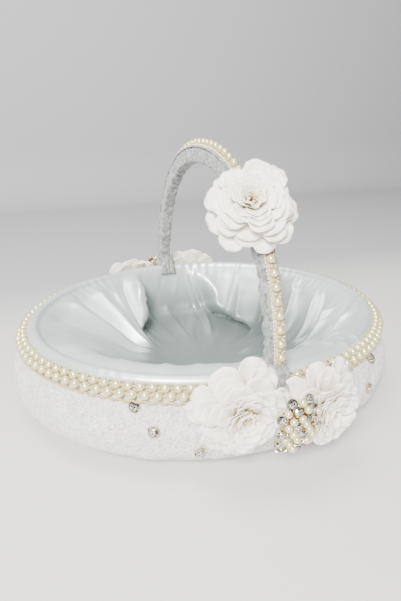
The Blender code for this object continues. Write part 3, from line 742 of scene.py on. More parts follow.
def buildLining():
    rng = np.random.default_rng(lining["seed"])
    count, rolls, falls = lining["around"], lining["rollSteps"], lining["fallSteps"]
    turn = np.degrees(np.arange(count) / count * 2 * math.pi)[:, None]
    roll = evenSamples(rollLine, rolls)[:-1]
    fall = np.linspace(0.0, 1.0, falls)[None, :]
    profiles = (wallLine, slackLine, leftLine, puffLine)
    wall, slack, left, puffed = (evenSamples(line, falls) for line in profiles)

    wave = 2.5 * np.sin(fall * 9) + 1.5 * np.sin(fall * 21 + 1)
    cliff = 103 + 8 * smooth(0.0, 0.35, fall) + 21 * smooth(0.3, 0.62, fall) + wave * 0.3
    swagEdge = 78 - 10 * smooth(0.0, 0.3, fall) - 34 * smooth(0.28, 0.62, fall) + wave
    leftLoose = smooth(-1.6, 1.6, turn - cliff) * (1 - smooth(250, 262, turn))
    rightLoose = (1 - smooth(-5.0, 3.0, turn - swagEdge)) + smooth(250, 262, turn)
    loose = np.clip(leftLoose + rightLoose, 0, 1)
    nearPuff = between(turn, 192, 306, 14)

    mixed = wall[None] * (1 - loose[..., None]) + slack[None] * loose[..., None]
    mixed = mixed + (left - slack)[None] * leftLoose[..., None]
    mixed = mixed * (1 - nearPuff[..., None]) + puffed[None] * nearPuff[..., None]
    rollGrid = np.broadcast_to(roll[None], (count, len(roll), 2))
    line = np.concatenate([rollGrid, mixed], 1) * mm
    along = np.concatenate([np.linspace(-0.2, 0.0, len(roll), endpoint=False)[None], fall], 1)

    t = np.radians(turn)
    offset, height = line[..., 0], line[..., 1]
    inner = smooth(10 * mm, 40 * mm, -offset)
    k = 1 + offset / (115 * mm)
    x = (ringA + offset) * (1 - inner) + ringA * k * inner
    y = (ringB + offset) * (1 - inner) + ringB * k * inner
    grid = np.stack([x * np.cos(t), y * np.sin(t), height], -1)

    lift = np.zeros((count, along.shape[1]))
    deep = np.clip(along, 0, 1)
    open_ = smooth(0.0, 0.12, deep) * (1 - smooth(0.72, 0.95, deep))
    gathers = cloudNoise(turn, along, rng, 5, (88, 120), 6.0)
    patch = np.clip(0.4 + 0.6 * cloudNoise(turn, along, rng, 4, (5, 13), 2.0), 0, 1.4)
    lift += gathers * (0.30 * smooth(-0.2, -0.1, along) * (1 - smooth(0.03, 0.16, along))) * patch
    lift += cloudNoise(turn, along, rng, 6, (20, 38), 9.0) * 0.34 * open_ * patch
    lift += cloudNoise(turn, along, rng, 6, (7, 15), 6.0) * 1.3 * open_
    for _ in range(20):
        start = rng.uniform(0, 360)
        high = rng.uniform(0.35, 0.9)
        size = rng.uniform(0.5, 1.4)
        lift += size * ridge(turn, deep, start, rng.uniform(-16, 16), rng.uniform(1.6, 3.6),
                             rng.uniform(-0.14, 0.1), high)
    for _ in range(16):
        start = rng.uniform(0, 360)
        size = rng.choice([-1.0, 1.0]) * rng.uniform(0.7, 1.5)
        lift += size * ridge(turn, deep, start, rng.uniform(-26, 26), rng.uniform(0.9, 1.5),
                             rng.uniform(-0.1, 0.3), rng.uniform(0.45, 0.72))
    for start, lean, width, low, high, size in bigFolds:
        lift += size * ridge(turn, deep, start, lean, width, low, high)
    floorFlat = smooth(0.64, 0.90, deep)
    lift *= (1 - floorFlat)
    # the tight wall at the back foot lies smoother than the rest
    calm = between(turn, 80, 102, 4) * smooth(0.05, 0.2, deep)
    lift *= 1 - 0.45 * calm
    lift -= 1.6 * near(turn, 262, 9) * smooth(0.05, 0.3, deep)

    along3 = np.gradient(grid, axis=1)
    around3 = (np.roll(grid, -1, 0) - np.roll(grid, 1, 0)) / 2
    normal = np.cross(around3, along3)
    normal /= np.maximum(np.linalg.norm(normal, axis=2, keepdims=True), 1e-9)
    if normal[0, 30, 2] < 0:
        normal = -normal
    grid = grid + normal * (lift * mm)[..., None]
    grid[..., 2] = np.maximum(grid[..., 2], 10.3 * mm)
    middle = grid[:, -1].mean(0)

    steps = grid.shape[1]
    verts = grid.reshape(-1, 3).tolist() + [middle.tolist()]
    faces = []
    for i in range(count):
        j = (i + 1) % count
        a, b = i * steps, j * steps
        faces += [(a + s, b + s, b + s + 1, a + s + 1) for s in range(steps - 1)]
        faces.append((a + steps - 1, b + steps - 1, count * steps))
    sheet = newPiece("satinLining", verts, faces, satin)
    # Painted shade for the satin, stored as the depth attribute: darker the further below the rim, and less
    # on the raised loose cloth at the left.
    raised = np.concatenate([np.zeros((count, rolls - 1)), leftLoose * (1 - smooth(0.5, 0.7, fall))], 1)
    paintedShade = (smooth(4 * mm, 44 * mm, rimZ - grid[..., 2]) * (1 - 0.6 * raised)).ravel().tolist() + [1.0]
    pointAttribute(sheet, "depth", paintedShade)
    up = sum(p.normal.z for p in list(sheet.data.polygons)[rolls + 25:rolls + 30])
    if up < 0:
        sheet.data.flip_normals()
    wallMod = sheet.modifiers.new("cloth", "SOLIDIFY")
    wallMod.thickness = lining["thick"]
    wallMod.offset = -1.0
    bake(sheet)
    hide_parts("satin_lining", "lining_band", "floor_pad")
    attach(sheet, "root")
    return sheet


# start angle on the rim, lean over the whole fall, width, from, to, height in mm
bigFolds = [
    (106, 20, 3.0, 0.0, 0.7, 6.5), (112, 24, 2.0, 0.0, 0.6, -3.0), (117, 26, 3.5, 0.05, 0.7, 3.5),
    (128, 14, 6.5, 0.0, 0.75, 7.0), (139, 6, 3.5, 0.0, 0.7, -4.0), (147, 0, 6.5, 0.0, 0.8, 6.0),
    (161, -14, 4.5, 0.0, 0.75, -3.5), (170, -16, 8.0, 0.05, 0.85, 4.0),
    (190, -28, 9.0, 0.05, 0.85, 3.0), (212, -26, 7.0, 0.1, 0.8, 2.0),
    (85, 10, 1.3, 0.0, 0.28, 1.8), (96, -12, 1.3, 0.0, 0.28, 1.8), (93, -8, 3.2, 0.15, 0.8, 2.6),
    (99, 4, 2.2, 0.2, 0.78, 3.0),
    (89, -4, 1.6, 0.3, 0.8, -2.0),
    (81, -22, 1.8, 0.0, 0.75, 3.6), (72, -12, 5.0, 0.05, 0.6, 2.0),
    (56, -10, 5.0, 0.1, 0.62, 2.2), (42, -20, 2.2, 0.0, 0.7, 4.2), (37, -22, 1.6, 0.0, 0.6, -3.0),
    (29, -34, 4.2, 0.0, 0.9, 4.8), (16, -46, 3.2, 0.05, 0.9, 3.6), (9, -48, 2.0, 0.0, 0.8, -2.6),
    (2, -50, 5.4, 0.05, 0.9, 6.0), (-12, -44, 2.6, 0.0, 0.85, -3.4), (-20, -38, 4.2, 0.0, 0.85, 6.0),
    (-36, -26, 3.0, 0.0, 0.8, -3.2), (-44, -22, 4.2, 0.0, 0.8, 6.5), (-58, -16, 3.4, 0.1, 0.7, 5.0),
    (-92, -6, 9.0, 0.2, 0.7, 1.6), (-116, 8, 9.0, 0.2, 0.75, 1.8)]

buildLining()
print("satin gathered")


# Handle
handle = {"power": 2.18, "pearl": 2.5 * mm, "pitch": 7.5 * mm, "seed": 0.85 * mm, "steps": 240}
sleeveLow, sleeveHigh = nodeBox("handle_sleeve")
tapeLow = nodeBox("handle_tape")[0]
handleW = sleeveHigh.x - sleeveLow.x
handleT = 10.5 * mm
springZ = rimZ - 5.0 * mm
archB = ringB + 4.5 * mm


def archPath(low, steps):
    # Outer-face points and outward normals, evenly spaced, from the front foot to the back.
    angle = np.linspace(math.pi, 0.0, 3601)
    power = 2 / handle["power"]
    y = archB * np.sign(np.cos(angle)) * np.abs(np.cos(angle)) ** power
    z = springZ + (sleeveHigh.z - springZ) * np.abs(np.sin(angle)) ** power
    keep = z >= low
    y, z = y[keep], z[keep]
    run = np.concatenate([[0.0], np.cumsum(np.hypot(np.diff(y), np.diff(z)))])
    want = np.linspace(0.0, run[-1], steps + 1)
    y, z = np.interp(want, run, y), np.interp(want, run, z)
    spots = [Vector((0.0, float(b), float(c))) for b, c in zip(y, z)]
    outs = []
    for i in range(len(spots)):
        ahead = spots[min(i + 1, steps)] - spots[max(i - 1, 0)]
        outs.append(Vector((0.0, -ahead.z, ahead.y)).normalized())
    return spots, outs, float(run[-1])


def buildSleeve():
    rng = random.Random(41)
    steps = handle["steps"]
    spots, outs, length = archPath(sleeveLow.z, steps)
    side = []
    half, cut, per = handleW / 2, 1.7 * mm, 5
    for cx, cd, start in ((half - cut, cut, -90), (half - cut, handleT - cut, 0),
                          (-half + cut, handleT - cut, 90), (-half + cut, cut, 180)):
        for k in range(per):
            a = math.radians(start + 90 * k / (per - 1))
            side.append((cx + cut * math.cos(a), cd + cut * math.sin(a)))
    ring = []
    for i, (x, d) in enumerate(side):
        nx, nd = side[(i + 1) % len(side)]
        ring.append((x, d))
        gap = math.hypot(nx - x, nd - d)
        if gap > 2 * mm:
            ring += [(x + (nx - x) * q / 4, d + (nd - d) * q / 4) for q in (1, 2, 3)]
    folds = [(rng.uniform(0, length), rng.uniform(0.6, 1.6) * mm, rng.uniform(-1, 1) * 3.0 * mm,
              rng.uniform(0.25, 0.75) * mm, rng.uniform(0, 6.28)) for _ in range(70)]
    verts = []
    for i, (spot, out) in enumerate(zip(spots, outs)):
        run = length * i / steps
        for x, d in ring:
            around = math.atan2(d - handleT / 2, x)
            inner = 0.35 + 0.65 * smoothStep(0.15, 0.6, d / handleT)
            dent = 0.0
            for place, wide, skew, depth, phase in folds:
                gap = run - place - skew * math.sin(around + phase)
                if abs(gap) < 3 * wide:
                    dent += depth * bump(gap, 0, wide)
            dent = min(dent, 0.8 * mm) * inner
            scale = 1 - dent / half
            verts.append(spot - out * (handleT / 2 + (d - handleT / 2) * scale) + Vector((x * scale, 0, 0)))
    wide = len(ring)
    faces = []
    for i in range(steps):
        a, b = i * wide, (i + 1) * wide
        faces += [(a + k, a + (k + 1) % wide, b + (k + 1) % wide, b + k) for k in range(wide)]
    sleeve = newPiece("handleSleeve", verts, faces, velvetCrushedShaded)
    flipTo(sleeve, Vector((1, 0, 0)), lambda c: c.x > handleW * 0.4)
    skin = sleeve.modifiers.new("cloth", "SOLIDIFY")
    skin.thickness = 0.5 * mm
    skin.offset = -1.0
    bake(sleeve)
    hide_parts("handle_sleeve")
    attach(sleeve, "root")


def fixOut(obj):
    # Turn a closed mesh's faces outwards.
    size = 0.0
    for p in obj.data.polygons:
        a = obj.data.vertices[p.vertices[0]].co
        for m in range(1, len(p.vertices) - 1):
            b = obj.data.vertices[p.vertices[m]].co
            c = obj.data.vertices[p.vertices[m + 1]].co
            size += a.dot(b.cross(c))
    if size < 0:
        obj.data.flip_normals()
    obj.data.update()


def buildHandleTrim():
    low = tapeLow.z
    steps = handle["steps"]
    spots, outs, length = archPath(low, steps)
    edges = []
    for side in (-1, 1):
        section = []
        for k in range(8):
            a = 2 * math.pi * k / 8
            section.append((side * (handleW / 2 - 0.75 * mm) + 1.05 * mm * math.cos(a),
                            -0.55 * mm + 0.75 * mm * math.sin(a)))
        edges.append(section)
    flat = [(-2.9 * mm, -0.9 * mm), (2.9 * mm, -0.9 * mm), (2.9 * mm, -0.1 * mm), (-2.9 * mm, -0.1 * mm)]
    rng = random.Random(8)
    strips = (("handleEdgeLeft", edges[0], velvetCrushedShaded), ("handleEdgeRight", edges[1], velvetCrushedShaded),
              ("handleTape", flat, ribbon))
    for name, section, finish in strips:
        verts, faces = [], []
        wide = len(section)
        for i, (spot, out) in enumerate(zip(spots, outs)):
            puffy = 1.0 if finish is ribbon else 1 + rng.uniform(-0.16, 0.16)
            cx = sum(x for x, _ in section) / wide
            verts += [spot - out * d * puffy + Vector((cx + (x - cx) * puffy, 0, 0)) for x, d in section]
        for i in range(steps):
            a, b = i * wide, (i + 1) * wide
            faces += [(a + k, a + (k + 1) % wide, b + (k + 1) % wide, b + k) for k in range(wide)]
        faces.append(tuple(range(wide))[::-1])
        faces.append(tuple(steps * wide + k for k in range(wide)))
        strip = newPiece(name, verts, faces, finish, finish is not ribbon)
        fixOut(strip)
        if finish is ribbon:
            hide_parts("handle_tape")
        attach(strip, "root")

    count = int(round(length / handle["pitch"]))
    spots, outs, _ = archPath(low, count * 2)
    lift = 1.1 * mm + handle["pearl"] * 0.92
    rng = random.Random(9)
    beads = [s + o * lift + Vector((rng.uniform(-0.2, 0.2) * mm, 0, 0))
             for i, (s, o) in enumerate(zip(spots, outs)) if i % 2 == 1]
    ways = [Vector((rng.uniform(-1, 1), rng.uniform(-1, 1), rng.uniform(-1, 1))) for _ in beads]
    sizes = [handle["pearl"] * rng.uniform(0.98, 1.02) for _ in beads]
    row = scatterOn("handlePearlRow", ball, beads, ways, sizes, pearl, key=6)
    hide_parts("handle_pearls")
    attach(row, "root")
    ties = [(s + o * 1.9 * mm, o) for i, (s, o) in enumerate(zip(spots, outs)) if i % 2 == 0]
    knots = scatterOn("handleTies", flatBall, [s for s, _ in ties], [o for _, o in ties],
                      [1.45 * mm] * len(ties), braid, key=7)
    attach(knots, "root")
    seedRows = (("handleSeedsLeft", "handle_seed_left", -1), ("handleSeedsRight", "handle_seed_right", 1))
    for name, node, side in seedRows:
        fine = int(length / (2.1 * mm))
        spots2, outs2, _ = archPath(low, fine)
        at = [s + o * 1.5 * mm + Vector((side * 2.75 * mm, 0, 0)) for s, o in zip(spots2, outs2)]
        small = scatterOn(name, smallBall, at, outs2, [handle["seed"] * rng.uniform(0.85, 1.05) for _ in at],
                          seed, key=8)
        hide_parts(node)
        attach(small, "root")


ribbon = threadMaterial("creamRibbon", (0.86, 0.81, 0.62))
buildSleeve()
buildHandleTrim()
print("handle covered")


# Velvet binding round the feet of the arch
def buildBinding(name, node, sign, key):
    rng = random.Random(key)
    spots, outs, _ = archPath(sleeveLow.z, 60)
    foot = spots[0] if sign < 0 else spots[-1]
    out = outs[0] if sign < 0 else outs[-1]
    saddle = [(-13.0, 54.0), (-12.4, 57.5), (-10.8, 60.6), (-7.5, 62.6), (-3.0, 63.0), (1.8, 61.2),
              (5.2, 58.4), (7.6, 54.6), (8.2, 49.5), (8.4, 44.5)]
    line = [(o * mm, z * mm) for o, z in curveThrough(saddle, 4)]
    half, across = 8.4 * mm, 28
    pleats = [(rng.uniform(-0.9, 0.9), rng.uniform(0.07, 0.16), rng.uniform(0.5, 1.3) * mm,
               rng.uniform(-0.25, 0.25)) for _ in range(11)]
    verts = []
    for i, (o, z) in enumerate(line):
        t = i / (len(line) - 1)
        a = line[max(i - 1, 0)]
        b = line[min(i + 1, len(line) - 1)]
        run = Vector((b[0] - a[0], b[1] - a[1])).normalized()
        up = Vector((-run.y, run.x))
        pinch = 0.62 + 0.5 * abs(t - 0.42) ** 1.2 * 1.6
        for k in range(across + 1):
            u = 2 * k / across - 1
            lift = 0.4 * mm + 1.1 * mm * (1 - u * u)
            for place, wide, high, lean in pleats:
                lift += high * bump(u, place + lean * (t - 0.4), wide)
            lift *= (1 - 0.75 * abs(u) ** 5)
            verts.append(Vector((u * half * pinch, sign * (ringB + o + up.x * lift), z + up.y * lift)))
    faces = []
    for i in range(len(line) - 1):
        for k in range(across):
            a = i * (across + 1) + k
            faces.append((a, a + 1, a + across + 2, a + across + 1))
    cloth = newPiece(name, verts, faces, velvetCrushedShaded)
    flipTo(cloth, Vector((0, 0, 1)), lambda c: c.z > 60 * mm)
    thick = cloth.modifiers.new("cloth", "SOLIDIFY")
    thick.thickness = 0.7 * mm
    thick.offset = -1.0
    bake(cloth)
    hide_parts(node)
    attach(cloth, "root")

    # ruched collar round the foot
    middle = foot - out * (handleT / 2)
    rings, sides = 22, 44
    creases = [(rng.uniform(0, 6.28), rng.uniform(0.10, 0.22), rng.uniform(0.35, 0.95) * mm,
                rng.uniform(-0.9, 0.9)) for _ in range(15)]
    verts = []
    for i in range(rings + 1):
        t = i / rings
        height = -4.6 * mm + 11.5 * mm * t
        swell = (1.5 + 2.0 * math.sin(math.pi * min(t * 1.15, 1.0)) + 0.9 * (1 - t)) * mm
        if t > 0.9:
            swell *= 1 - 0.75 * (t - 0.9) / 0.1
        for k in range(sides):
            a = 2 * math.pi * k / sides
            dent = 0.0
            for place, wide, deep, lean in creases:
                gap = (a - place - lean * (t - 0.5) + math.pi) % (2 * math.pi) - math.pi
                dent += deep * bump(gap, 0, wide)
            grow = swell - dent * math.sin(math.pi * min(max(t, 0.08), 0.95))
            px = (handleW / 2 + grow) * superRound(math.cos(a))
            py = (handleT / 2 + grow) * superRound(math.sin(a))
            tilt = Vector((0, out.z, -out.y)) * (-1 if sign < 0 else 1)
            lean3 = Vector((0, 0, 1)).lerp(tilt if tilt.z > 0 else -tilt, 0.8).normalized()
            verts.append(middle + Vector((px, 0, 0)) + out * py + lean3 * height)
    faces = []
    for i in range(rings):
        a, b = i * sides, (i + 1) * sides
        faces += [(a + k, a + (k + 1) % sides, b + (k + 1) % sides, b + k) for k in range(sides)]
    collar = newPiece(name + "Collar", verts, faces, velvetCrushedShaded)
    flipTo(collar, Vector((1, 0, 0)), lambda c: c.x > 5 * mm)
    thick = collar.modifiers.new("cloth", "SOLIDIFY")
    thick.thickness = 0.7 * mm
    thick.offset = -1.0
    bake(collar)
    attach(collar, "root")


buildBinding("footBindingFront", "foot_wrap_front", -1, 3)
buildBinding("footBindingBack", "foot_wrap_back", 1, 4)
print("feet bound")


# Flowers
# stacks of petals: count, lengths, width (mm), tilts at the base and at the tip (deg), base height, cup
petalStacks = [
    (9, (26.5,), 16.4, (0,), (-13,), 1.0, 0.08),
    (8, (24.4, 22.0), 16.2, (12, 21), (-2, 7), 1.9, 0.13),
    (7, (20.6, 18.6), 15.6, (32, 41), (14, 26), 3.2, 0.18),
    (6, (16.6, 14.6), 13.6, (50, 57), (38, 48), 4.4, 0.24),
    (4, (12.6,), 11.6, (66,), (64,), 5.2, 0.32),
    (3, (9.5,), 9.5, (76,), (84,), 5.8, 0.40)]
petalCurl = {"thick": 0.3 * mm, "wave": 0.62 * mm, "across": 10, "along": 12}


def frameAt(origin, axis):
    z = Vector(axis).normalized()
    up = Vector((0, 0, 1)) if abs(z.z) < 0.95 else Vector((0, 1, 0))
    x = up.cross(z).normalized()
    turn = Matrix((x, z.cross(x), z)).transposed().to_4x4()
    return Matrix.Translation(origin) @ turn


def flowerFrame(tag):
    disc = np.array([v.co[:] for v in bpy.data.objects[tag + "_backing"].data.vertices])
    tips = np.array([v.co[:] for v in bpy.data.objects[tag + "_stamens"].data.vertices])
    petals = np.array([v.co[:] for v in bpy.data.objects[tag + "_outer_petals"].data.vertices])
    centre = disc.mean(0)
    axis = Vector(tips.mean(0) - centre).normalized()
    gap = petals - centre
    side = gap - np.outer(gap @ np.array(axis[:]), np.array(axis[:]))
    reach = float(np.linalg.norm(side, axis=1).max())
    return Vector(centre) - axis * 0.5 * mm, axis, reach


def addPetal(verts, faces, tones, place, spin, length, width, tilt0, tilt1, root, cup, curl, rng):
    across, steps = petalCurl["across"], petalCurl["along"]
    fine = 24
    r, z = [root[0]], [root[1]]
    for i in range(fine):
        t = (i + 0.5) / fine
        tilt = math.radians(tilt0 + (tilt1 - tilt0) * t - curl * smoothStep(0.68, 1.0, t))
        r.append(r[-1] + length / fine * math.cos(tilt))
        z.append(z[-1] + length / fine * math.sin(tilt))
    phase, beat = rng.uniform(0, 6.28), rng.uniform(1.2, 2.2)
    crease = rng.uniform(-0.4, 0.4)
    turn = Matrix.Rotation(spin, 4, "Z")
    grid = []
    for i in range(steps + 1):
        t = i / steps
        for k in range(across + 1):
            u = 2 * k / across - 1
            along = t * (1 - 0.13 * t * t * abs(u) ** 2.4)
            half = width / 2 * (0.24 + 0.76 * math.sin(min(t / 0.66, 1.0) * math.pi / 2))
            half *= 1 - 0.10 * max(0.0, (t - 0.66) / 0.34) ** 2
            at = along * fine
            n = min(int(at), fine - 1)
            f = at - n
            cr, cz = r[n] + (r[n + 1] - r[n]) * f, z[n] + (z[n + 1] - z[n]) * f
            dr, dz = r[n + 1] - r[n], z[n + 1] - z[n]
            size = math.hypot(dr, dz)
            nr, nz = -dz / size, dr / size
            edge = max(abs(u) ** 3, smoothStep(0.6, 1.0, t))
            lift = cup * width * (u * u) * (0.35 + 0.65 * math.sin(math.pi * min(t * 1.05, 1.0)))
            lift += petalCurl["wave"] * edge * math.sin(beat * math.pi * u + phase + 2.2 * t)
            lift += 0.5 * mm * bump(u, crease, 0.16) * math.sin(math.pi * t)
            lift -= 0.4 * mm * bump(u, crease + 0.45, 0.2) * math.sin(math.pi * t)
            spread = half * u * (1 - 0.35 * cup * u * u)
            grid.append((Vector((cr + nr * lift, spread, cz + nz * lift)), Vector((nr, 0, nz)), along))
    thin = petalCurl["thick"] / 2
    base = len(verts)
    for side in (1, -1):
        for spot, normal, along in grid:
            verts.append(place @ (turn @ (spot + normal * thin * side)))
            tones.append(along)
    wide = across + 1
    total = len(grid)
    for i in range(steps):
        for k in range(across):
            a = base + i * wide + k
            faces.append((a, a + wide, a + wide + 1, a + 1))
            b = a + total
            faces.append((b, b + 1, b + wide + 1, b + wide))
    rim = [k for k in range(wide)] + [i * wide + across for i in range(1, steps + 1)]
    rim += [steps * wide + k for k in range(across - 1, -1, -1)] + [i * wide for i in range(steps - 1, 0, -1)]
    for p, q in zip(rim, rim[1:] + rim[:1]):
        faces.append((base + p, base + q, base + total + q, base + total + p))


def buildFlower(tag, name, key, lag, bigger, shift, turned, dip):
    rng = random.Random(key)
    hub, axis, reach = flowerFrame(tag)
    hub += Vector(shift) * mm
    sideways = Vector((0, 0, 1)).cross(axis).normalized()
    axis = Matrix.Rotation(math.radians(dip), 3, sideways) @ axis
    axis = (Matrix.Rotation(math.radians(turned), 3, "Z") @ axis).normalized()
    size = reach / (27.0 * mm) * bigger
    place = frameAt(hub, axis) @ Matrix.Rotation(lag, 4, "Z")
    verts, faces, tones = [], [], []
    phase = 0.0
    for count, lengths, width, bases, tips, rise, cup in petalStacks:
        phase += math.pi / count + 0.3
        for i in range(count):
            spin = phase + 2 * math.pi * i / count + rng.uniform(-0.10, 0.10)
            grow, lean = rng.uniform(0.90, 1.05), rng.uniform(-11, 11)
            for nest, (length, base, tip) in enumerate(zip(lengths, bases, tips)):
                addPetal(verts, faces, tones, place, spin + rng.uniform(-0.11, 0.11),
                         length * grow * size * mm, width * rng.uniform(0.93, 1.07) * size * mm,
                         base + lean, tip + lean + rng.uniform(-4, 4),
                         (2.2 * size * mm, (rise + 0.5 * nest) * size * mm), cup * rng.uniform(0.7, 1.3),
                         rng.uniform(2, 20), rng)
    bloom = newPiece(name + "Petals", verts, faces, petal)
    pointAttribute(bloom, "along", tones)
    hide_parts(tag + "_outer_petals", tag + "_middle_petals", tag + "_inner_petals")
    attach(bloom, "root")

    tips, ways, sizes, threads = [], [], [], []
    for i in range(24):
        spin = i * 2.39996
        out = math.sqrt((i + 0.5) / 24)
        tilt = 0.62 * out + rng.uniform(-0.08, 0.08)
        way = Vector((math.sin(tilt) * math.cos(spin), math.sin(tilt) * math.sin(spin), math.cos(tilt)))
        start = Vector((math.cos(spin) * out * 1.4, math.sin(spin) * out * 1.4, 5.6)) * size * mm
        tip = start + way * rng.uniform(6.6, 8.6) * size * mm
        threads.append((place @ start, place @ tip))
        tips.append(place @ tip)
        ways.append(axis)
        sizes.append(rng.uniform(0.62, 0.86) * mm)
    beads = scatterOn(name + "StamenBeads", smallBall, tips, ways, sizes, stamenTip, key=key)
    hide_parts(tag + "_stamens")
    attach(beads, "root")
    verts, faces = [], []
    for start, tip in threads:
        way = (tip - start).normalized()
        side = way.orthogonal().normalized()
        cross = way.cross(side)
        base = len(verts)
        for spot, r in ((start, 0.2 * mm), (start.lerp(tip, 0.5), 0.17 * mm), (tip, 0.15 * mm)):
            verts += [spot + (side * math.cos(a) + cross * math.sin(a)) * r for a in (0, 1.57, 3.14, 4.71)]
        for i in range(2):
            a, b = base + 4 * i, base + 4 * i + 4
            faces += [(a + k, a + (k + 1) % 4, b + (k + 1) % 4, b + k) for k in range(4)]
        faces += [(base + 3, base + 2, base + 1, base), (base + 8, base + 9, base + 10, base + 11)]
    hairs = newPiece(name + "StamenThreads", verts, faces, stamenThread)
    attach(hairs, "root")


stamenThread = threadMaterial("stamenThread", (0.80, 0.62, 0.34))
# size against the CAD petals, shift in mm, turn about the upright and dip of the face in degrees
flowerPlaces = (("handle_flower", "handleFlower", 101, 0.1, 0.87, (-1.9, 2.2, -0.2), 0, 0),
                ("front_left_flower", "frontLeftFlower", 202, 0.7, 1.05, (4.5, 0, -1.5), 0, 14),
                ("front_right_flower", "frontRightFlower", 303, 1.9, 1.03, (-4.5, -1.5, -1.5), -6, 12),
                ("back_left_flower", "backLeftFlower", 404, 0.4, 1.0, (0, 0, 4.0), 0, 0),
                ("back_right_flower", "backRightFlower", 505, 2.6, 1.02, (0, 0, 4.0), 0, 0))
for place in flowerPlaces:
    buildFlower(*place)
print("flowers built")


# Brooches and single rhinestones
# P is a pearl, S a rhinestone; one letter's width is half a stone's pitch
broochRows = ("....S.P.S..", "...P.S.P.S.", "..S.P.P.S.P", "...P.S.P.S.", "..S.P.S.P.S", "...P.P.S.P.",
              "..S.P.S.P..", "...S.P.S...")
brooch = {"cell": 2.75 * mm, "row": 4.2 * mm, "pearl": 2.3 * mm, "stone": 2.6 * mm, "middle": 6.0}


def claws(name, spots, ways, radii, key, hides=()):
    stones = scatterOn(name + "Stones", stoneShape, spots, ways, [r * 0.98 for r in radii], crystal, key=key)
    if hides:
        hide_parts(*hides)
    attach(stones, "root")
    cups = scatterOn(name + "Claws", clawShape, spots, ways, radii, gold, key=key)
    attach(cups, "root")


def buildBrooch(tag, name, sign, key):
    rng = random.Random(key)
    low, high = nodeBox(tag + "_brooch_cluster")
    plateLow, plateHigh = nodeBox(tag + "_brooch_plate")
    middle = (low + high) / 2
    face = low.y if sign < 0 else high.y
    deep = abs(high.y - low.y)
    pearls, stones, stems = [], [], []
    rows = len(broochRows)
    for r, row in enumerate(broochRows):
        for c, letter in enumerate(row):
            if letter == ".":
                continue
            x = (c - brooch["middle"] + 0.8) * brooch["cell"] * -sign + rng.uniform(-0.5, 0.5) * mm
            z = ((rows - 1) / 2 - r - 0.6) * brooch["row"] + rng.uniform(-0.6, 0.6) * mm
            far = math.hypot(x / (15 * mm), z / (17 * mm))
            sink = deep * 0.55 * far ** 2 + rng.uniform(0.0, 1.2) * mm
            spot = Vector((middle.x + x, face - sign * (2.2 * mm + sink), middle.z + z))
            way = Vector((x * 0.75 + rng.uniform(-3, 3) * mm, sign * 17 * mm,
                          z * 0.75 + rng.uniform(-3, 3) * mm)).normalized()
            stems.append(spot)
            (pearls if letter == "P" else stones).append((spot, way))
    beads = scatterOn(name + "Pearls", ball, [s for s, _ in pearls], [w for _, w in pearls],
                      [brooch["pearl"] * rng.uniform(0.93, 1.04) for _ in pearls], pearl, key=key)
    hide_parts(tag + "_brooch_cluster")
    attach(beads, "root")
    claws(name, [s - w * 0.9 * mm for s, w in stones], [w for _, w in stones],
          [brooch["stone"] * rng.uniform(0.92, 1.06) for _ in stones], key)
    # fine wires from the plate to every pearl and stone
    verts, faces = [], []
    root = Vector((middle.x, (plateLow.y + plateHigh.y) / 2, middle.z))
    for spot in stems:
        start = Vector((middle.x + (spot.x - middle.x) * 0.45, face - sign * deep * 0.95,
                        middle.z + (spot.z - middle.z) * 0.45))
        way = (spot - start).normalized()
        side = way.orthogonal().normalized()
        cross = way.cross(side)
        base = len(verts)
        for at, wide in ((start, 0.55 * mm), (spot, 0.4 * mm)):
            corners = (0, 1.05, 2.09, 3.14, 4.19, 5.24)
            verts += [at + (side * math.cos(a) + cross * math.sin(a)) * wide for a in corners]
        faces += [(base + k, base + (k + 1) % 6, base + 6 + (k + 1) % 6, base + 6 + k) for k in range(6)]
        faces += [tuple(base + k for k in range(6))[::-1], tuple(base + 6 + k for k in range(6))]
    wires = newPiece(name + "Wires", verts, faces, gold)
    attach(wires, "root")


buildBrooch("front", "frontBrooch", -1, 61)
buildBrooch("back", "backBrooch", 1, 62)

for tag in ("front", "back"):
    spots, ways, nodes = [], [], []
    for number in range(1, 6):
        node = f"{tag}_rhinestone_{number}"
        low, high = nodeBox(node)
        spot, normal, _, _ = bodyTree.find_nearest((low + high) / 2)
        spots.append(spot + normal * 0.9 * mm)
        ways.append(normal)
        nodes.append(node)
    claws(tag + "Single", spots, ways, [3.0 * mm] * 5, 70 if tag == "front" else 71, nodes)
print("brooches and stones set")


# Finishes of the parts that stay
wood = plainCloth("cane", (0.52, 0.38, 0.24), 220.0)
finishes = {"base_cover": felt, "base_board": boardSkin, "basket_form": boardSkin, "rim_hoop": wood,
            "handle_core": wood, "pearl_tape": ribbon, "front_brooch_plate": gold, "back_brooch_plate": gold}
for tag in ("handle", "front_left", "front_right", "back_left", "back_right"):
    finishes[tag + "_flower_backing"] = felt
for node, finish in finishes.items():
    bpy.data.objects[node].material_slots[0].material = finish


# Floor, light and camera
# floor colour near the basket and behind it, then where the sweep turns up, metres
stage = {"near": (0.66, 0.655, 0.635), "far": (0.46, 0.465, 0.48), "backY": 0.85, "bend": 0.12, "top": 1.3,
         "wide": 3.0}


def stageMaterial():
    s = Shader("palePaper", stage["near"], 0.9, Specular_IOR_Level=0.1)
    split = s.nodes.new("ShaderNodeSeparateXYZ")
    s.links.new(s.coords, split.inputs["Vector"])
    fade = s.nodes.new("ShaderNodeMapRange")
    fade.inputs["From Min"].default_value = 0.13
    fade.inputs["From Max"].default_value = 0.26
    s.links.new(split.outputs["Y"], fade.inputs["Value"])
    s.colour(s.ramp(fade.outputs["Result"], ((0.0, stage["near"]), (1.0, stage["far"]))))
    return s.mat


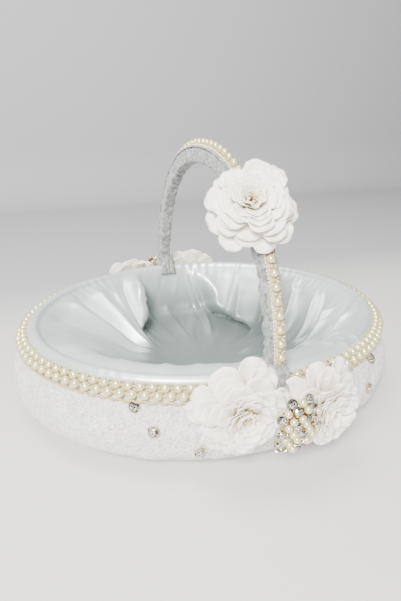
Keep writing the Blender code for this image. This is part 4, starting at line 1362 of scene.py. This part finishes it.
def buildStage():
    line = [(-3.0, 0.0), (stage["backY"] - stage["bend"], 0.0)]
    for k in range(1, 13):
        a = math.pi / 2 * k / 12
        line.append((stage["backY"] - stage["bend"] * (1 - math.sin(a)),
                     stage["bend"] * (1 - math.cos(a))))
    line.append((stage["backY"], stage["top"]))
    verts = [(x, y, z) for y, z in line for x in (-stage["wide"], stage["wide"])]
    faces = [(2 * i, 2 * i + 1, 2 * i + 3, 2 * i + 2) for i in range(len(line) - 1)]
    sweep = newPiece("studioSweep", verts, faces, stageMaterial())
    world = bpy.data.worlds.new("studio")
    bpy.context.scene.world = world
    world.use_nodes = True
    back = world.node_tree.nodes["Background"]
    back.inputs["Color"].default_value = (0.86, 0.87, 0.89, 1.0)
    back.inputs["Strength"].default_value = 0.36


def softbox(name, spot, target, size, power, colour):
    data = bpy.data.lights.new(name, "AREA")
    data.shape = "RECTANGLE"
    data.size, data.size_y = size
    data.energy = power
    data.color = colour
    lamp = bpy.data.objects.new(name, data)
    lamp.location = spot
    lamp.rotation_mode = "QUATERNION"
    lamp.rotation_quaternion = (Vector(spot) - Vector(target)).to_track_quat("Z", "Y")
    bpy.context.scene.collection.objects.link(lamp)


def buildCamera():
    data = bpy.data.cameras.new("studioCamera")
    data.lens, data.sensor_width = 29.0, 36.0
    data.clip_start = 0.01
    cam = bpy.data.objects.new("studioCamera", data)
    right = Vector((0.940, -0.341, 0.0))
    back = Vector((-0.317, -0.874, 0.367))
    cam.matrix_world = Matrix.Translation((-0.1196, -0.3204, 0.1975)) @ Matrix(
        (right, back.cross(right), back)).transposed().to_4x4()
    bpy.context.scene.collection.objects.link(cam)
    bpy.context.scene.camera = cam


buildStage()
softbox("overheadSoftbox", (-0.2, 0.0, 1.2), (0, 0, 0.05), (0.6, 0.6), 12.0, (1.0, 0.99, 0.97))
softbox("keySoftbox", (-0.60, -1.0, 0.90), (0, 0, 0.06), (0.4, 0.4), 66.0, (1.0, 0.985, 0.955))
buildCamera()
print("stage set")
